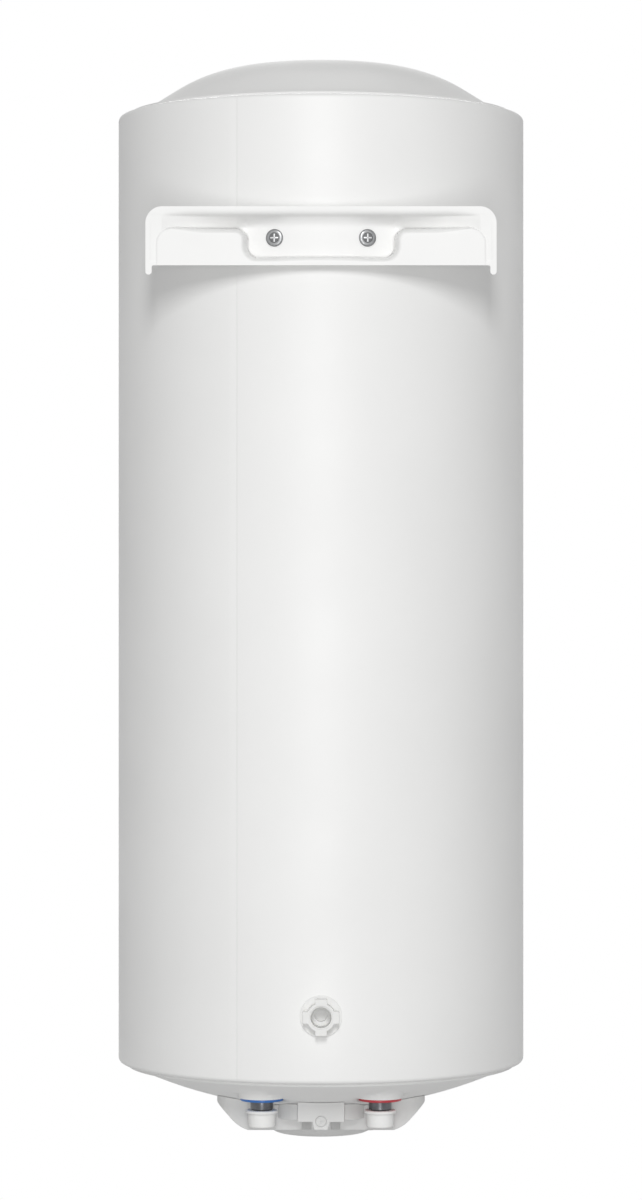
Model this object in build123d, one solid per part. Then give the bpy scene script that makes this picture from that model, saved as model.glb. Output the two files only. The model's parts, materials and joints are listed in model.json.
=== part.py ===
from build123d import *
import math
import os

# Wall-hung electric storage water heater, millimetres.
# Modelled on the tank's axis with z = 0 at the drum's lower rim and +Y towards the wall,
# then moved so that the origin lies on the wall plane, at the bracket's lower strip.

# Clearances
fit_gap = 0.3
foam_gap = 0.4
slide_gap = 0.05
over = 5.0

# Drum
shell_diameter = 445.0
shell_height = 1029.0
shell_sheet = 0.6
rim_radius = 4.0
rim_width = 8.5
seam_width = 1.2
seam_depth = 0.3
seam_angle = 23.5
wall_gap = 14.0

# End caps
cap_sheet = 1.0
cap_bead = 1.5
crown_radius = 640.0
crown_reach = 92.0
shoulder_radius = 175.0
cone_angle = 32.4
flare_radius = 95.0
edge_angle = 14.0
pan_radius = 490.0
pan_edge = 2.768
service_radius = 64.0

# Tank and insulation
foam_thickness = 20.0
tank_wall = 1.5
tank_crown = 380.0
tank_knuckle = 40.0
tank_below_rim = 30.0
tank_above_rim = 27.0
weld_inset = 30.0

# Service flange
neck_bore = 44.0
neck_wall = 3.0
flange_radius = 62.0
neck_ring = 6.0
neck_recess = 8.7
gasket_thickness = 3.0
flange_thickness = 4.0
stud_circle = 52.0
stud_count = 6
stud_radius = 4.0
stud_hole = 4.5
nut_sides = 6
nut_across_flats = 13.0
nut_height = 6.5
stud_tail = 2.5

# Elements, sensor pocket and anode
element_radius = 4.0
element_height = 330.0
element_x = 18.0
element_y = 7.0
element_span = 30.0
pin_radius = 2.0
pin_length = 7.0
pocket_radius = 5.0
pocket_bore = 3.5
pocket_height = 280.0
anode_radius = 10.0
anode_y = 24.0
anode_stand = 25.0
anode_length = 380.0
anode_stud = 3.0
anode_nut_flats = 10.0
anode_nut_height = 5.0

# Thermostat, cut-out and control knob
control_y = -18.0
thermostat_width = 26.0
thermostat_length = 40.0
thermostat_height = 14.0
thermostat_drop = 2.0
thermostat_corner = 2.5
sensor_radius = 3.0
sensor_short = 14.0
spindle_radius = 3.0
spindle_seat = 9.0
spindle_grip = 3.75
cutout_width = 20.0
cutout_length = 22.0
cutout_shift = 5.0
button_radius = 3.5
button_travel = 2.0
button_height = 6.0
button_proud = 3.0
button_round = 0.7
knob_radius = 24.0
knob_gap = 0.8
knob_height = 11.0
knob_proud = 0.5
knob_round = 1.0
knob_bar = 9.0
knob_rim = 3.0
knob_pocket = 7.5
hub_radius = 6.5
hub_height = 2.0
pointer_width = 2.0
pointer_length = 12.0
pointer_depth = 1.0

# Water connections
pipe_x = 63.0
pipe_y = 140.0
collar_radius = 12.15
collar_stand = 12.8
collar_chamfer = 1.0
thread_radius = 10.4775
thread_length = 16.0
pipe_bore = 7.5
pipe_inside = 25.0
pad_radius = 24.5
pad_slope = 6.0
pad_rise = 0.829
ring_radius = 23.0
ring_rim = 1.2
ring_bulge = 4.0
ring_hub = 14.5
cap_lip_radius = 16.85
cap_lip = 3.5
lip_round = 1.15
cap_radius = 14.65
cap_floor = 2.2
cap_edge = 2.0
standpipe_radius = 9.0
standpipe_wall = 1.0
standpipe_seat = 10.0
standpipe_top = 70.0
diffuser_radius = 15.5
diffuser_wall = 2.0
diffuser_rise = 16.0
diffuser_overlap = 8.0
diffuser_slots = 6
diffuser_slot = 6.0

# Wall bracket
bracket_width = 365.6
bracket_height = 61.4
bracket_hang = 177.8
bracket_sheet = 2.5
bracket_corner = 17.5
tip_width = 6.5
tip_drop = 9.7
lip_height = 9.7
bottom_strip = 8.4
land_height = 38.7
pocket_half = 77.5
pocket_fillet = 12.0
land_edge = 171.0
groove_edge = 178.4
groove_foot = 3.4
groove_depth = 0.8
land_corner = 17.0
cavity_corner = 10.5
wing_end = 166.0
screw_spacing = 100.0
screw_level = 30.0
screw_radius = 4.0
screw_hole = 4.5
screw_head = 9.15
screw_rim = 0.8
screw_rise = 2.4
screw_crown = 5.7
screw_dish = 0.7
cross_width = 1.7
cross_length = 7.6
cross_depth = 1.8
screw_length = 20.0
strap_height = 70.0
strap_sheet = 2.5
strap_half_angle = 22.0
boss_radius = 9.0

# Lower wall spacer
spacer_level = 67.9
spacer_tube = 15.0
spacer_mouth = 12.2
mouth_depth = 1.2
spacer_bore = 10.9
bore_depth = 24.0
spacer_core = 6.5
core_depth = 28.5
spacer_depth = 32.0
ear_width = 12.2
ear_reach = 19.0
base_flange = 22.0
base_plate = 1.6
base_wall = 2.0
seal_section = 1.1
seal_groove = 1.5
seal_place = 17.0

# Bottom cover
cover_half = 112.0
cover_wall = 2.5
cover_slope = 18.5
cover_foot = 95.0
cover_rise = 10.5
cover_floor_half = 78.5
cover_drop = 14.3
cover_back = 103.0
cover_corner = 16.0
belly_radius = 62.0
belly_round = 18.0
belly_depth = 15.0
nose_half = 25.0
nose_rise = 13.5
nose_fillet = 21.0
tab_half = 9.5
tab_foot_half = 7.3
tab_drop = 8.5
notch_inner = 10.5
notch_outer = 20.5
notch_height = 9.5
notch_depth = 1.6
cover_screw_rise = 0.5
cover_screw_recess = 5.85
recess_depth = 1.6
cover_screw_radius = 2.0
cover_screw_head = 4.0
cover_head_height = 1.8
cover_cross_half = 0.55
cover_screw_length = 9.0
bracket_leg_half = 9.0
bracket_leg = 2.5
bracket_foot = 14.0
bracket_tail = 5.0
post_radius = 5.5
post_x = 70.0
grommet_x = -52.0
grommet_y = 80.0
grommet_bore = 4.5
grommet_body = 7.0
grommet_flange = 10.0
grommet_lip = 2.0
block_half = 25.0
block_length = 20.0
block_height = 14.0
block_y = 82.0
block_grip = 2.4
terminal_pitch = 15.0
lamp_y = -70.2
lamp_radius = 4.5
lamp_wall = 1.0
lamp_flange = 2.0
lamp_ring = 6.5
lamp_proud = 1.5
lens_round = 1.2
lamp_body = 8.0
earth_angle = 30.0
earth_radius = 2.5
wire_radius = 1.25
wire_rise = 2.5
wire_bend = 5.0
wire_tight = 2.4
wire_lead = 10.0
wire_slope = 20.0
live_offset = 6.5

# Levels worked out from the sizes above
shell_r = shell_diameter / 2
wall_y = shell_r + wall_gap
shell_inner = shell_r - shell_sheet
rim_inner = shell_r - rim_width
cap_edge_r = rim_inner + cap_bead
tank_r = shell_inner - foam_thickness
pan_rise = pan_radius - math.sqrt(pan_radius ** 2 - cap_edge_r ** 2)
pan_low = -pan_rise - pan_edge
pan_centre = pan_low + pan_radius
tank_low = -tank_below_rim
tank_high = shell_height + tank_above_rim
neck_face = pan_low + neck_recess
flange_top = neck_face - gasket_thickness
flange_face = flange_top - flange_thickness
nut_face = flange_face - nut_height
thermostat_top = flange_face - thermostat_drop
thermostat_face = thermostat_top - thermostat_height
cover_floor = cover_drop - pan_low
cover_turn = cover_floor - cover_rise
cover_shoulder = cover_turn - cover_slope
belly_floor = cover_floor + belly_depth
nose_floor = cover_floor - nose_rise
tab_floor = nose_floor + tab_drop
cover_screw_level = nose_floor - cover_screw_rise
knob_face = -belly_floor - knob_proud
knob_top = knob_face + knob_height
pad_face = pan_centre - math.sqrt(pan_radius ** 2 - pipe_x ** 2 - pipe_y ** 2) + pad_rise
collar_face = pad_face - collar_stand
thread_end = collar_face - thread_length
bracket_base = shell_height - bracket_hang
bracket_high = bracket_base + bracket_height
screw_z = bracket_base + screw_level
floor_r = shell_r + fit_gap + bracket_sheet
screw_angle = math.degrees(math.asin(screw_spacing / 2 / floor_r))
nose_face = pipe_y
bracket_face = nose_face - cover_wall - fit_gap
cover_inside = -cover_floor + cover_wall
upright = (Align.CENTER, Align.CENTER, Align.MIN)
corner = (Align.MIN, Align.MIN, Align.MIN)


# Shared shapes
def rod(radius, low, high, x=0.0, y=0.0):
    return Pos(x, y, low) * Cylinder(radius, high - low, align=upright)


def rod_y(radius, near, far, x=0.0, z=0.0):
    return Pos(x, near, z) * Rot(-90, 0, 0) * Cylinder(radius, far - near, align=upright)


def block(x_low, x_high, y_low, y_high, z_low, z_high):
    size = Box(x_high - x_low, y_high - y_low, z_high - z_low, align=corner)
    return Pos(x_low, y_low, z_low) * size


def tube(radius, bore, low, high, x=0.0, y=0.0):
    return rod(radius, low, high, x, y) - rod(bore, low - over, high + over, x, y)


def drum(radius, low, high, edge):
    solid = rod(radius, low, high)
    return fillet(solid.edges().filter_by(GeomType.CIRCLE), edge)


def turned(face):
    return revolve(Plane.XZ * face, axis=Axis.Z)


def around(angle, height, shape):
    return Pos(0, 0, height) * Rot(0, 0, -angle) * shape


def spread(shapes):
    return Part() + list(shapes)


# Both ends of the drum are curled inwards and carry the caps
def shell_fill(inset):
    return drum(shell_r - inset, inset, shell_height - inset, rim_radius - shell_sheet)


def make_outer_shell():
    shell = drum(shell_r, 0, shell_height, rim_radius)
    shell -= shell_fill(shell_sheet)
    shell -= rod(rim_inner, -over, shell_height + over)
    seam = block(-seam_width / 2, seam_width / 2, shell_r - seam_depth, shell_r + over, 0, shell_height)
    shell -= around(seam_angle, 0, seam)
    for side in (-1, 1):
        shell -= around(side * screw_angle, screw_z, rod_y(screw_hole, tank_r, shell_r + over))
    shell -= rod_y(base_tube + fit_gap, tank_r, shell_r + over, z=spacer_level)
    return shell


# Top cap: crown, shoulder, cone and flare in one tangent line
crown_angle = math.degrees(math.asin(crown_reach / crown_radius))


def rise(radius, start, end):
    return radius * (math.cos(math.radians(start)) - math.cos(math.radians(end)))


def reach(radius, start, end):
    return radius * (math.sin(math.radians(end)) - math.sin(math.radians(start)))


cone_reach = cap_edge_r - crown_reach - reach(shoulder_radius, crown_angle, cone_angle)
cone_reach -= reach(flare_radius, edge_angle, cone_angle)
cone_length = cone_reach / math.cos(math.radians(cone_angle))
dome_rise = rise(crown_radius, 0, crown_angle) + rise(shoulder_radius, crown_angle, cone_angle)
dome_rise += cone_length * math.sin(math.radians(cone_angle)) + rise(flare_radius, edge_angle, cone_angle)
dome_base = shell_height + cap_bead
dome_top = dome_base + dome_rise


def dome_line(inset):
    crown = JernArc((0, dome_top - inset), (1, 0), crown_radius - inset, -crown_angle)
    shoulder = JernArc(crown @ 1, crown % 1, shoulder_radius - inset, crown_angle - cone_angle)
    cone = Line(shoulder @ 1, (shoulder @ 1) + (shoulder % 1) * cone_length)
    flare = JernArc(cone @ 1, cone % 1, flare_radius + inset, cone_angle - edge_angle)
    return [crown, shoulder, cone, flare]


def dome_fill(inset, low):
    line = dome_line(inset)
    edge = line[-1] @ 1
    side = Line(edge, (edge.X, low))
    base = Line((edge.X, low), (0, low))
    axis = Line((0, low), line[0] @ 0)
    return turned(make_face(line + [side, base, axis]))


def make_top_cap():
    outer = dome_line(0)
    inner = dome_line(cap_sheet)
    edge = Line(outer[-1] @ 1, inner[-1] @ 1)
    axis = Line(inner[0] @ 0, outer[0] @ 0)
    cap = turned(make_face(outer + inner + [edge, axis]))
    return cap + Pos(0, 0, dome_base) * Torus(cap_edge_r, cap_bead)


# Bottom cap: a spherical pan with a flat pad around each pipe
def pan_dish(inset):
    ball = Pos(0, 0, pan_centre) * Sphere(pan_radius - inset)
    return ball & rod(cap_edge_r + cap_bead - inset, -pan_radius, 0)


def pan_fill(inset):
    pan = pan_dish(inset)
    level = pad_face + inset
    for side in (-1, 1):
        place = Pos(side * pipe_x, pipe_y, level)
        pad = Cone(pad_radius - inset, pad_radius - inset + pad_slope, -level, align=upright)
        well = Cylinder(pad_radius + inset, pan_radius, align=(Align.CENTER, Align.CENTER, Align.MAX))
        pan = pan + place * pad - place * well
    return pan


def make_bottom_cap():
    cap = pan_fill(0) - pan_fill(cap_sheet)
    cap += Pos(0, 0, -cap_bead) * Torus(cap_edge_r, cap_bead)
    cap -= rod(service_radius, -pan_radius, 0)
    for side in (-1, 1):
        cap -= rod(collar_radius + fit_gap, -pan_radius, 0, side * pipe_x, pipe_y)
    return cap


# Pressure tank
head_angle = math.degrees(math.asin((tank_r - tank_knuckle) / (tank_crown - tank_knuckle)))
head_rise = rise(tank_crown, 0, head_angle) + rise(tank_knuckle, head_angle, 90)


def tank_fill(inset):
    straight = tank_high - tank_low - 2 * head_rise
    low_crown = JernArc((0, tank_low + inset), (1, 0), tank_crown - inset, head_angle)
    low_knuckle = JernArc(low_crown @ 1, low_crown % 1, tank_knuckle - inset, 90 - head_angle)
    side = Line(low_knuckle @ 1, (low_knuckle @ 1) + Vector(0, straight))
    top_knuckle = JernArc(side @ 1, side % 1, tank_knuckle - inset, 90 - head_angle)
    top_crown = JernArc(top_knuckle @ 1, top_knuckle % 1, tank_crown - inset, head_angle)
    axis = Line((0, tank_high - inset), (0, tank_low + inset))
    return turned(make_face([low_crown, low_knuckle, side, top_knuckle, top_crown, axis]))


weld_low = tank_low + head_rise + weld_inset
weld_high = tank_high - head_rise - weld_inset


def tank_span(low, high):
    wall = tank_fill(0) - tank_fill(tank_wall)
    return wall & rod(shell_r, low, high)


def make_bottom_head():
    head = tank_span(tank_low - over, weld_low)
    head -= rod(neck_bore, tank_low - over, 0)
    for side in (-1, 1):
        head -= rod(collar_radius + slide_gap, tank_low - over, weld_low, side * pipe_x, pipe_y)
    return head


def make_foam():
    throat = rim_inner - foam_gap
    ends = dome_fill(cap_sheet + foam_gap, shell_height - rim_radius) + pan_fill(cap_sheet + foam_gap)
    ends += rod(throat, -cap_bead, rim_radius)
    foam = shell_fill(shell_sheet + foam_gap)
    foam += ends & rod(throat, -pan_radius, dome_top)
    foam -= tank_fill(-foam_gap)
    foam -= rod(service_radius, -pan_radius, 0)
    for side in (-1, 1):
        foam -= rod(collar_radius + foam_gap, -pan_radius, weld_low, side * pipe_x, pipe_y)
        foam -= around(side * screw_angle, screw_z, rod_y(boss_radius + foam_gap, tank_r, shell_r))
    foam -= strap_band(-foam_gap)
    foam -= rod_y(base_tube + foam_gap, tank_r, shell_r, z=spacer_level)
    return foam


# Hanger inside the drum that takes the bracket screws
def strap_band(inset):
    low = screw_z - strap_height / 2 + inset
    high = screw_z + strap_height / 2 - inset
    band = tube(tank_r + fit_gap + strap_sheet - inset, tank_r + fit_gap + inset, low, high)
    half = shell_r * math.tan(math.radians(strap_half_angle)) - inset
    wedge = Polyline((0, 0), (half, shell_r), (-half, shell_r), close=True)
    return band & extrude(Pos(0, 0, low) * make_face(wedge), high - low)


def make_hanger_bosses():
    low = screw_z - strap_height / 2
    ring = tube(shell_inner - fit_gap, tank_r + fit_gap + strap_sheet, low, low + strap_height)
    bosses = []
    for side in (-1, 1):
        boss = rod_y(boss_radius, tank_r, shell_r) - rod_y(screw_radius + slide_gap, 0, shell_r)
        bosses.append(around(side * screw_angle, screw_z, boss) & ring)
    return spread(bosses)


# Wall bracket: a flat plate drawn back into a pocket that follows the drum
wall_plane = Plane(origin=(0, wall_y, 0), x_dir=(1, 0, 0), z_dir=(0, -1, 0))


def strip(half, low, high, x=0.0):
    return Pos(x, (low + high) / 2) * Rectangle(2 * half, high - low)


def cavity_outline():
    top = bracket_high - lip_height
    land = bracket_base + land_height
    groove_half = (groove_edge - land_edge) / 2
    groove_mid = (groove_edge + land_edge) / 2
    outline = strip(groove_edge, land, top) + strip(pocket_half, bracket_base + bottom_strip, top)
    for side in (-1, 1):
        outline += strip(groove_half, bracket_base + groove_foot, top, side * groove_mid)
    corners = outline.vertices()
    pocket = [v for v in corners if abs(abs(v.X) - pocket_half) < fit_gap]
    lands = [v for v in corners if abs(abs(v.X) - land_edge) < fit_gap and abs(v.Y - land) < fit_gap]
    tops = [v for v in corners if abs(v.Y - top) < fit_gap]
    feet = [v for v in corners if v.Y < bracket_base + groove_foot + fit_gap]
    rounded = fillet(pocket, pocket_fillet)
    rounded = fillet(match(rounded, lands), land_corner)
    rounded = fillet(match(rounded, tops), cavity_corner)
    return fillet(match(rounded, feet), groove_half - slide_gap)


def match(outline, wanted):
    places = [w.center() for w in wanted]
    return [v for v in outline.vertices() if min((v.center() - p).length for p in places) < slide_gap]


def floor_region(drop):
    crease = pocket_half + drop
    radius = floor_r - drop
    crease_y = math.sqrt(radius ** 2 - crease ** 2)
    edge_y = wall_y - groove_depth - drop
    side = bracket_width
    bottom = ThreePointArc((-crease, crease_y), (0, radius), (crease, crease_y))
    right = Polyline((crease, crease_y), (wing_end, edge_y), (side, edge_y), (side, wall_y + over))
    left = Polyline((-crease, crease_y), (-wing_end, edge_y), (-side, edge_y), (-side, wall_y + over))
    front = Line((-side, wall_y + over), (side, wall_y + over))
    region = make_face([bottom, right, left, front])
    return extrude(Pos(0, 0, bracket_base - over) * region, bracket_height + 2 * over)


def plate_outline():
    half = bracket_width / 2
    plate = strip(half, bracket_base, bracket_high)
    tops = [v for v in plate.vertices() if v.Y > bracket_base + fit_gap]
    plate = fillet(tops, bracket_corner)
    for side in (-1, 1):
        x = side * (half - tip_width / 2)
        foot = strip(tip_width / 2, bracket_base - tip_drop, bracket_base + tip_drop, x)
        ends = [v for v in foot.vertices() if v.Y < bracket_base]
        plate += fillet(ends, tip_width / 2 - slide_gap)
    return plate


def make_wall_bracket():
    outline = cavity_outline()
    cavity = extrude(wall_plane * outline, wall_y) & floor_region(0)
    backing = extrude(wall_plane * offset(outline, bracket_sheet), wall_y) & floor_region(bracket_sheet)
    bracket = extrude(wall_plane * plate_outline(), bracket_sheet) + backing - cavity
    for side in (-1, 1):
        bracket -= around(side * screw_angle, screw_z, rod_y(screw_hole, shell_inner, wall_y + over))
    return bracket


def make_bracket_screw():
    screw = rod_y(screw_radius, floor_r - screw_length, floor_r)
    screw += rod_y(screw_head, floor_r, floor_r + screw_rim)
    crown = Cone(screw_head, screw_crown, screw_rise, align=upright)
    screw += Pos(0, floor_r + screw_rim, 0) * Rot(-90, 0, 0) * crown
    top = floor_r + screw_rim + screw_rise
    screw -= rod_y(screw_crown - screw_rim, top - screw_dish, top + over)
    width = cross_width / 2
    length = cross_length / 2
    arm = block(-width, width, top - screw_dish - cross_depth, top + over, -length, length)
    return screw - arm - Rot(0, 90, 0) * arm


# Lower wall spacer: a hollow cross that screws out of its base
base_tube = spacer_tube + slide_gap + base_wall
base_face = shell_r + base_plate
spacer_inner = wall_y - spacer_depth


def make_spacer_base():
    plate = rod_y(base_flange, tank_r, base_face, z=spacer_level)
    plate -= rod(shell_r + fit_gap, 0, shell_height)
    sleeve = rod_y(base_tube, tank_r + 2 * fit_gap, base_face, z=spacer_level)
    return plate + sleeve - rod_y(spacer_tube + slide_gap, 0, wall_y, z=spacer_level)


def make_wall_spacer():
    spacer = rod_y(spacer_tube, spacer_inner, wall_y)
    ears_low = base_face + fit_gap
    ear = block(-ear_reach, ear_reach, ears_low, wall_y, -ear_width / 2, ear_width / 2)
    spacer += ear
    spacer += Rot(0, 90, 0) * ear
    spacer -= rod_y(spacer_mouth, wall_y - mouth_depth, wall_y + over)
    spacer -= rod_y(spacer_bore, wall_y - bore_depth, wall_y + over)
    spacer -= rod_y(spacer_core, wall_y - core_depth, wall_y + over)
    spacer -= seal_ring(seal_groove)
    return Pos(0, 0, spacer_level) * spacer


def seal_ring(section):
    path = spacer_tube - seal_section
    return Pos(0, wall_y - seal_place, 0) * Rot(90, 0, 0) * Torus(path, section)


# Service flange and what it carries
def stud_places():
    return [Rot(0, 0, 360 / stud_count * index) * Pos(stud_circle, 0, 0) for index in range(stud_count)]


def on_studs(shape):
    return spread(place * shape for place in stud_places())


def make_flange_neck():
    sleeve = tube(neck_bore + neck_wall, neck_bore, neck_face, 0)
    ring = tube(flange_radius, neck_bore, neck_face, neck_face + neck_ring)
    neck = sleeve + ring - tank_fill(-fit_gap)
    return neck - on_studs(rod(stud_radius + slide_gap, neck_face - over, neck_face + neck_ring + over))


def nut(flats, height, bore):
    profile = RegularPolygon(flats / 2, nut_sides, major_radius=False)
    return extrude(profile, height) - rod(bore, -over, height + over)


element_ends = (element_y - element_span / 2, element_y + element_span / 2)
element_places = [(x, y) for x in (-element_x, element_x) for y in element_ends]


def make_gasket():
    ring = tube(flange_radius, neck_bore, flange_top, neck_face)
    return ring - on_studs(rod(stud_hole, flange_top - over, neck_face + over))


def earth_place():
    angle = math.radians(earth_angle)
    return stud_circle * math.cos(angle), stud_circle * math.sin(angle)


def make_element_flange():
    low = flange_face - over
    high = flange_top + over
    plate = rod(flange_radius, flange_face, flange_top) - on_studs(rod(stud_hole, low, high))
    for x, y in element_places:
        plate -= rod(element_radius + slide_gap, low, high, x, y)
    plate -= rod(pocket_radius + slide_gap, low, high, 0, control_y)
    plate -= rod(anode_stud + slide_gap, low, high, 0, anode_y)
    return plate - rod(earth_radius + slide_gap, low, high, *earth_place())


def make_element(x):
    bend = element_span / 2
    top = element_height - bend
    loop = Rot(0, -90, 0) * Torus(bend, element_radius)
    loop = Pos(x, element_y, top) * loop
    loop &= rod(2 * element_span, top, element_height + over, x, element_y)
    for y in element_ends:
        loop += rod(element_radius, flange_face, top, x, y)
        loop += rod(pin_radius, flange_face - pin_length, flange_face, x, y)
    return loop


def make_thermowell():
    well = rod(pocket_radius, flange_face, pocket_height, 0, control_y)
    roof = pocket_height - pocket_radius + pocket_bore
    return well - rod(pocket_bore, flange_face - over, roof, 0, control_y)


def make_anode():
    foot = flange_top + anode_stand
    anode = rod(anode_radius, foot, foot + anode_length, 0, anode_y)
    return anode + rod(anode_stud, flange_face - pin_length, foot, 0, anode_y)


# Thermostat, cut-out and knob
def make_thermostat():
    y_low = control_y - thermostat_length / 2
    y_high = control_y + thermostat_length / 2
    half = thermostat_width / 2
    body = block(-half, half, y_low, y_high, thermostat_face, thermostat_top)
    body = fillet(body.edges().filter_by(Axis.Z), thermostat_corner)
    body += rod(sensor_radius, thermostat_top, pocket_height - sensor_short, 0, control_y)
    seat = thermostat_face + spindle_seat
    return body - rod(spindle_radius + slide_gap, thermostat_face - over, seat, 0, control_y)


spindle_foot = knob_top - spindle_grip


def make_spindle():
    return rod(spindle_radius, spindle_foot, thermostat_face + spindle_seat - fit_gap, 0, control_y)


cutout_x = thermostat_width / 2 + slide_gap + cutout_width / 2
cutout_y = control_y - thermostat_length / 2 + cutout_length / 2 + cutout_shift


def make_cutout():
    x_low = cutout_x - cutout_width / 2
    y_low = cutout_y - cutout_length / 2
    body = block(x_low, x_low + cutout_width, y_low, y_low + cutout_length, thermostat_face, thermostat_top)
    seat = thermostat_face + button_height - button_proud + button_travel + fit_gap
    return body - rod(button_radius + slide_gap, thermostat_face - over, seat, cutout_x, cutout_y)


def make_reset_button():
    low = thermostat_face - button_proud
    button = rod(button_radius, low, low + button_height, cutout_x, cutout_y)
    return fillet(button.edges().group_by(Axis.Z)[0], button_round)


def make_knob():
    knob = rod(knob_radius, knob_face, knob_top)
    knob = fillet(knob.edges().group_by(Axis.Z)[0], knob_round)
    well = rod(knob_radius - knob_rim, knob_face - over, knob_face + knob_pocket)
    well -= block(-knob_bar / 2, knob_bar / 2, -knob_radius, knob_radius, knob_face - over, knob_top)
    knob -= well
    knob += rod(hub_radius, knob_top, knob_top + hub_height)
    knob -= rod(spindle_radius + slide_gap, spindle_foot - fit_gap, knob_top + hub_height + over)
    half = pointer_width / 2
    end = pointer_length - knob_radius
    mark = block(-half, half, -knob_radius - over, end, knob_face - over, knob_face + pointer_depth)
    return Pos(0, control_y, 0) * (knob - mark)


# Water connections
def make_nipple(side):
    x = side * pipe_x
    pipe = rod(collar_radius, collar_face, pipe_inside, x, pipe_y)
    pipe = chamfer(pipe.edges().group_by(Axis.Z)[0], collar_chamfer)
    pipe += rod(thread_radius, thread_end, collar_face, x, pipe_y)
    pipe -= rod(pipe_bore, thread_end - over, pipe_inside + over, x, pipe_y)
    if side < 0:
        seat = pipe_inside - standpipe_seat
        pipe -= rod(standpipe_radius + slide_gap, seat, pipe_inside + over, x, pipe_y)
    return pipe


def make_colour_ring(side):
    rim = Polyline((collar_radius + fit_gap, 0), (ring_radius, 0), (ring_radius, -ring_rim),
                   (ring_hub, -ring_bulge), (collar_radius + fit_gap, -ring_bulge), close=True)
    return Pos(side * pipe_x, pipe_y, pad_face) * turned(make_face(rim))


def make_transport_cap(side):
    x = side * pipe_x
    top = collar_face - fit_gap
    low = thread_end - fit_gap - cap_floor
    body = rod(cap_radius, low, top, x, pipe_y)
    body = fillet(body.edges().group_by(Axis.Z)[0], cap_edge)
    lip = rod(cap_lip_radius, top - cap_lip, top, x, pipe_y)
    lip = fillet(lip.edges().filter_by(GeomType.CIRCLE), lip_round)
    return body + lip - rod(thread_radius + slide_gap, thread_end - fit_gap, top + over, x, pipe_y)


def make_standpipe():
    low = pipe_inside - standpipe_seat
    high = tank_high - standpipe_top
    return tube(standpipe_radius, standpipe_radius - standpipe_wall, low, high, -pipe_x, pipe_y)


def make_diffuser():
    low = pipe_inside - diffuser_overlap
    high = pipe_inside + diffuser_rise
    cup = rod(diffuser_radius, low, high, pipe_x, pipe_y)
    cup -= rod(collar_radius + slide_gap, low - over, high - diffuser_wall, pipe_x, pipe_y)
    for index in range(diffuser_slots // 2):
        slot = block(-diffuser_radius - over, diffuser_radius + over, -diffuser_slot / 2, diffuser_slot / 2,
                     pipe_inside + diffuser_wall, high - 2 * diffuser_wall)
        cup -= Pos(pipe_x, pipe_y, 0) * Rot(0, 0, 360 / diffuser_slots * index) * slot
    return cup


# Bottom cover: round at the front, carried straight to a flat back, with a nose between the pipes
def cover_profile(inset):
    wall = Line((0, 0), (cover_half, 0))
    side = Line((cover_half, 0), (cover_half, -cover_shoulder))
    slope = Line((cover_half, -cover_shoulder), (cover_foot, -cover_turn))
    turn = TangentArc((cover_foot, -cover_turn), (cover_floor_half, -cover_floor), tangent=slope % 1)
    floor = Line((cover_floor_half, -cover_floor), (0, -cover_floor))
    axis = Line((0, -cover_floor), (0, 0))
    half = make_face([wall, side, slope, turn, floor, axis])
    whole = half + mirror(half, about=Plane.YZ)
    if inset:
        whole = offset(whole, -inset) + Pos(0, -inset) * Rectangle(2 * (cover_half - inset), 2 * inset)
    return whole


def cover_plan(inset):
    back = cover_back - inset
    half = cover_half
    plan = Pos(0, back - half) * Rectangle(2 * half, 2 * half)
    rear = [v for v in plan.vertices() if v.Y > 0]
    plan = fillet(rear, cover_corner)
    nose = Pos(0, nose_face - inset - nose_half) * Rectangle(2 * (nose_half - inset), 2 * nose_half)
    return plan, nose


def cover_fill(inset):
    profile = cover_profile(inset)
    right = profile & Pos(cover_half, -cover_half) * Rectangle(2 * cover_half, 2 * cover_half)
    bowl = turned(right)
    straight = extrude(Plane.XZ * profile, -cover_back - over)
    plan, nose = cover_plan(inset)
    body = (bowl + straight) & extrude(Pos(0, 0, -cover_floor) * plan, cover_floor)
    belly = rod(belly_radius - inset, -belly_floor + inset, -cover_floor + over)
    belly = fillet(belly.edges().group_by(Axis.Z)[0], belly_round - inset)
    body += belly
    beak = extrude(Pos(0, 0, -nose_floor + inset) * nose, nose_floor - inset)
    return body + beak + nose_webs(inset)


def nose_webs(inset):
    webs = []
    for side in (-1, 1):
        x = side * (nose_half - inset)
        y = cover_back - inset
        size = nose_fillet
        start = (x - side * over, y + size)
        foot = Polyline((x, y + size), start, (x - side * over, y - over), (x + side * size, y - over),
                        (x + side * size, y))
        curve = RadiusArc((x, y + size), (x + side * size, y), side * size)
        web = make_face([foot, curve])
        webs.append(extrude(Pos(0, 0, -nose_floor + inset) * web, nose_floor - inset))
    return spread(webs)


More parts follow.
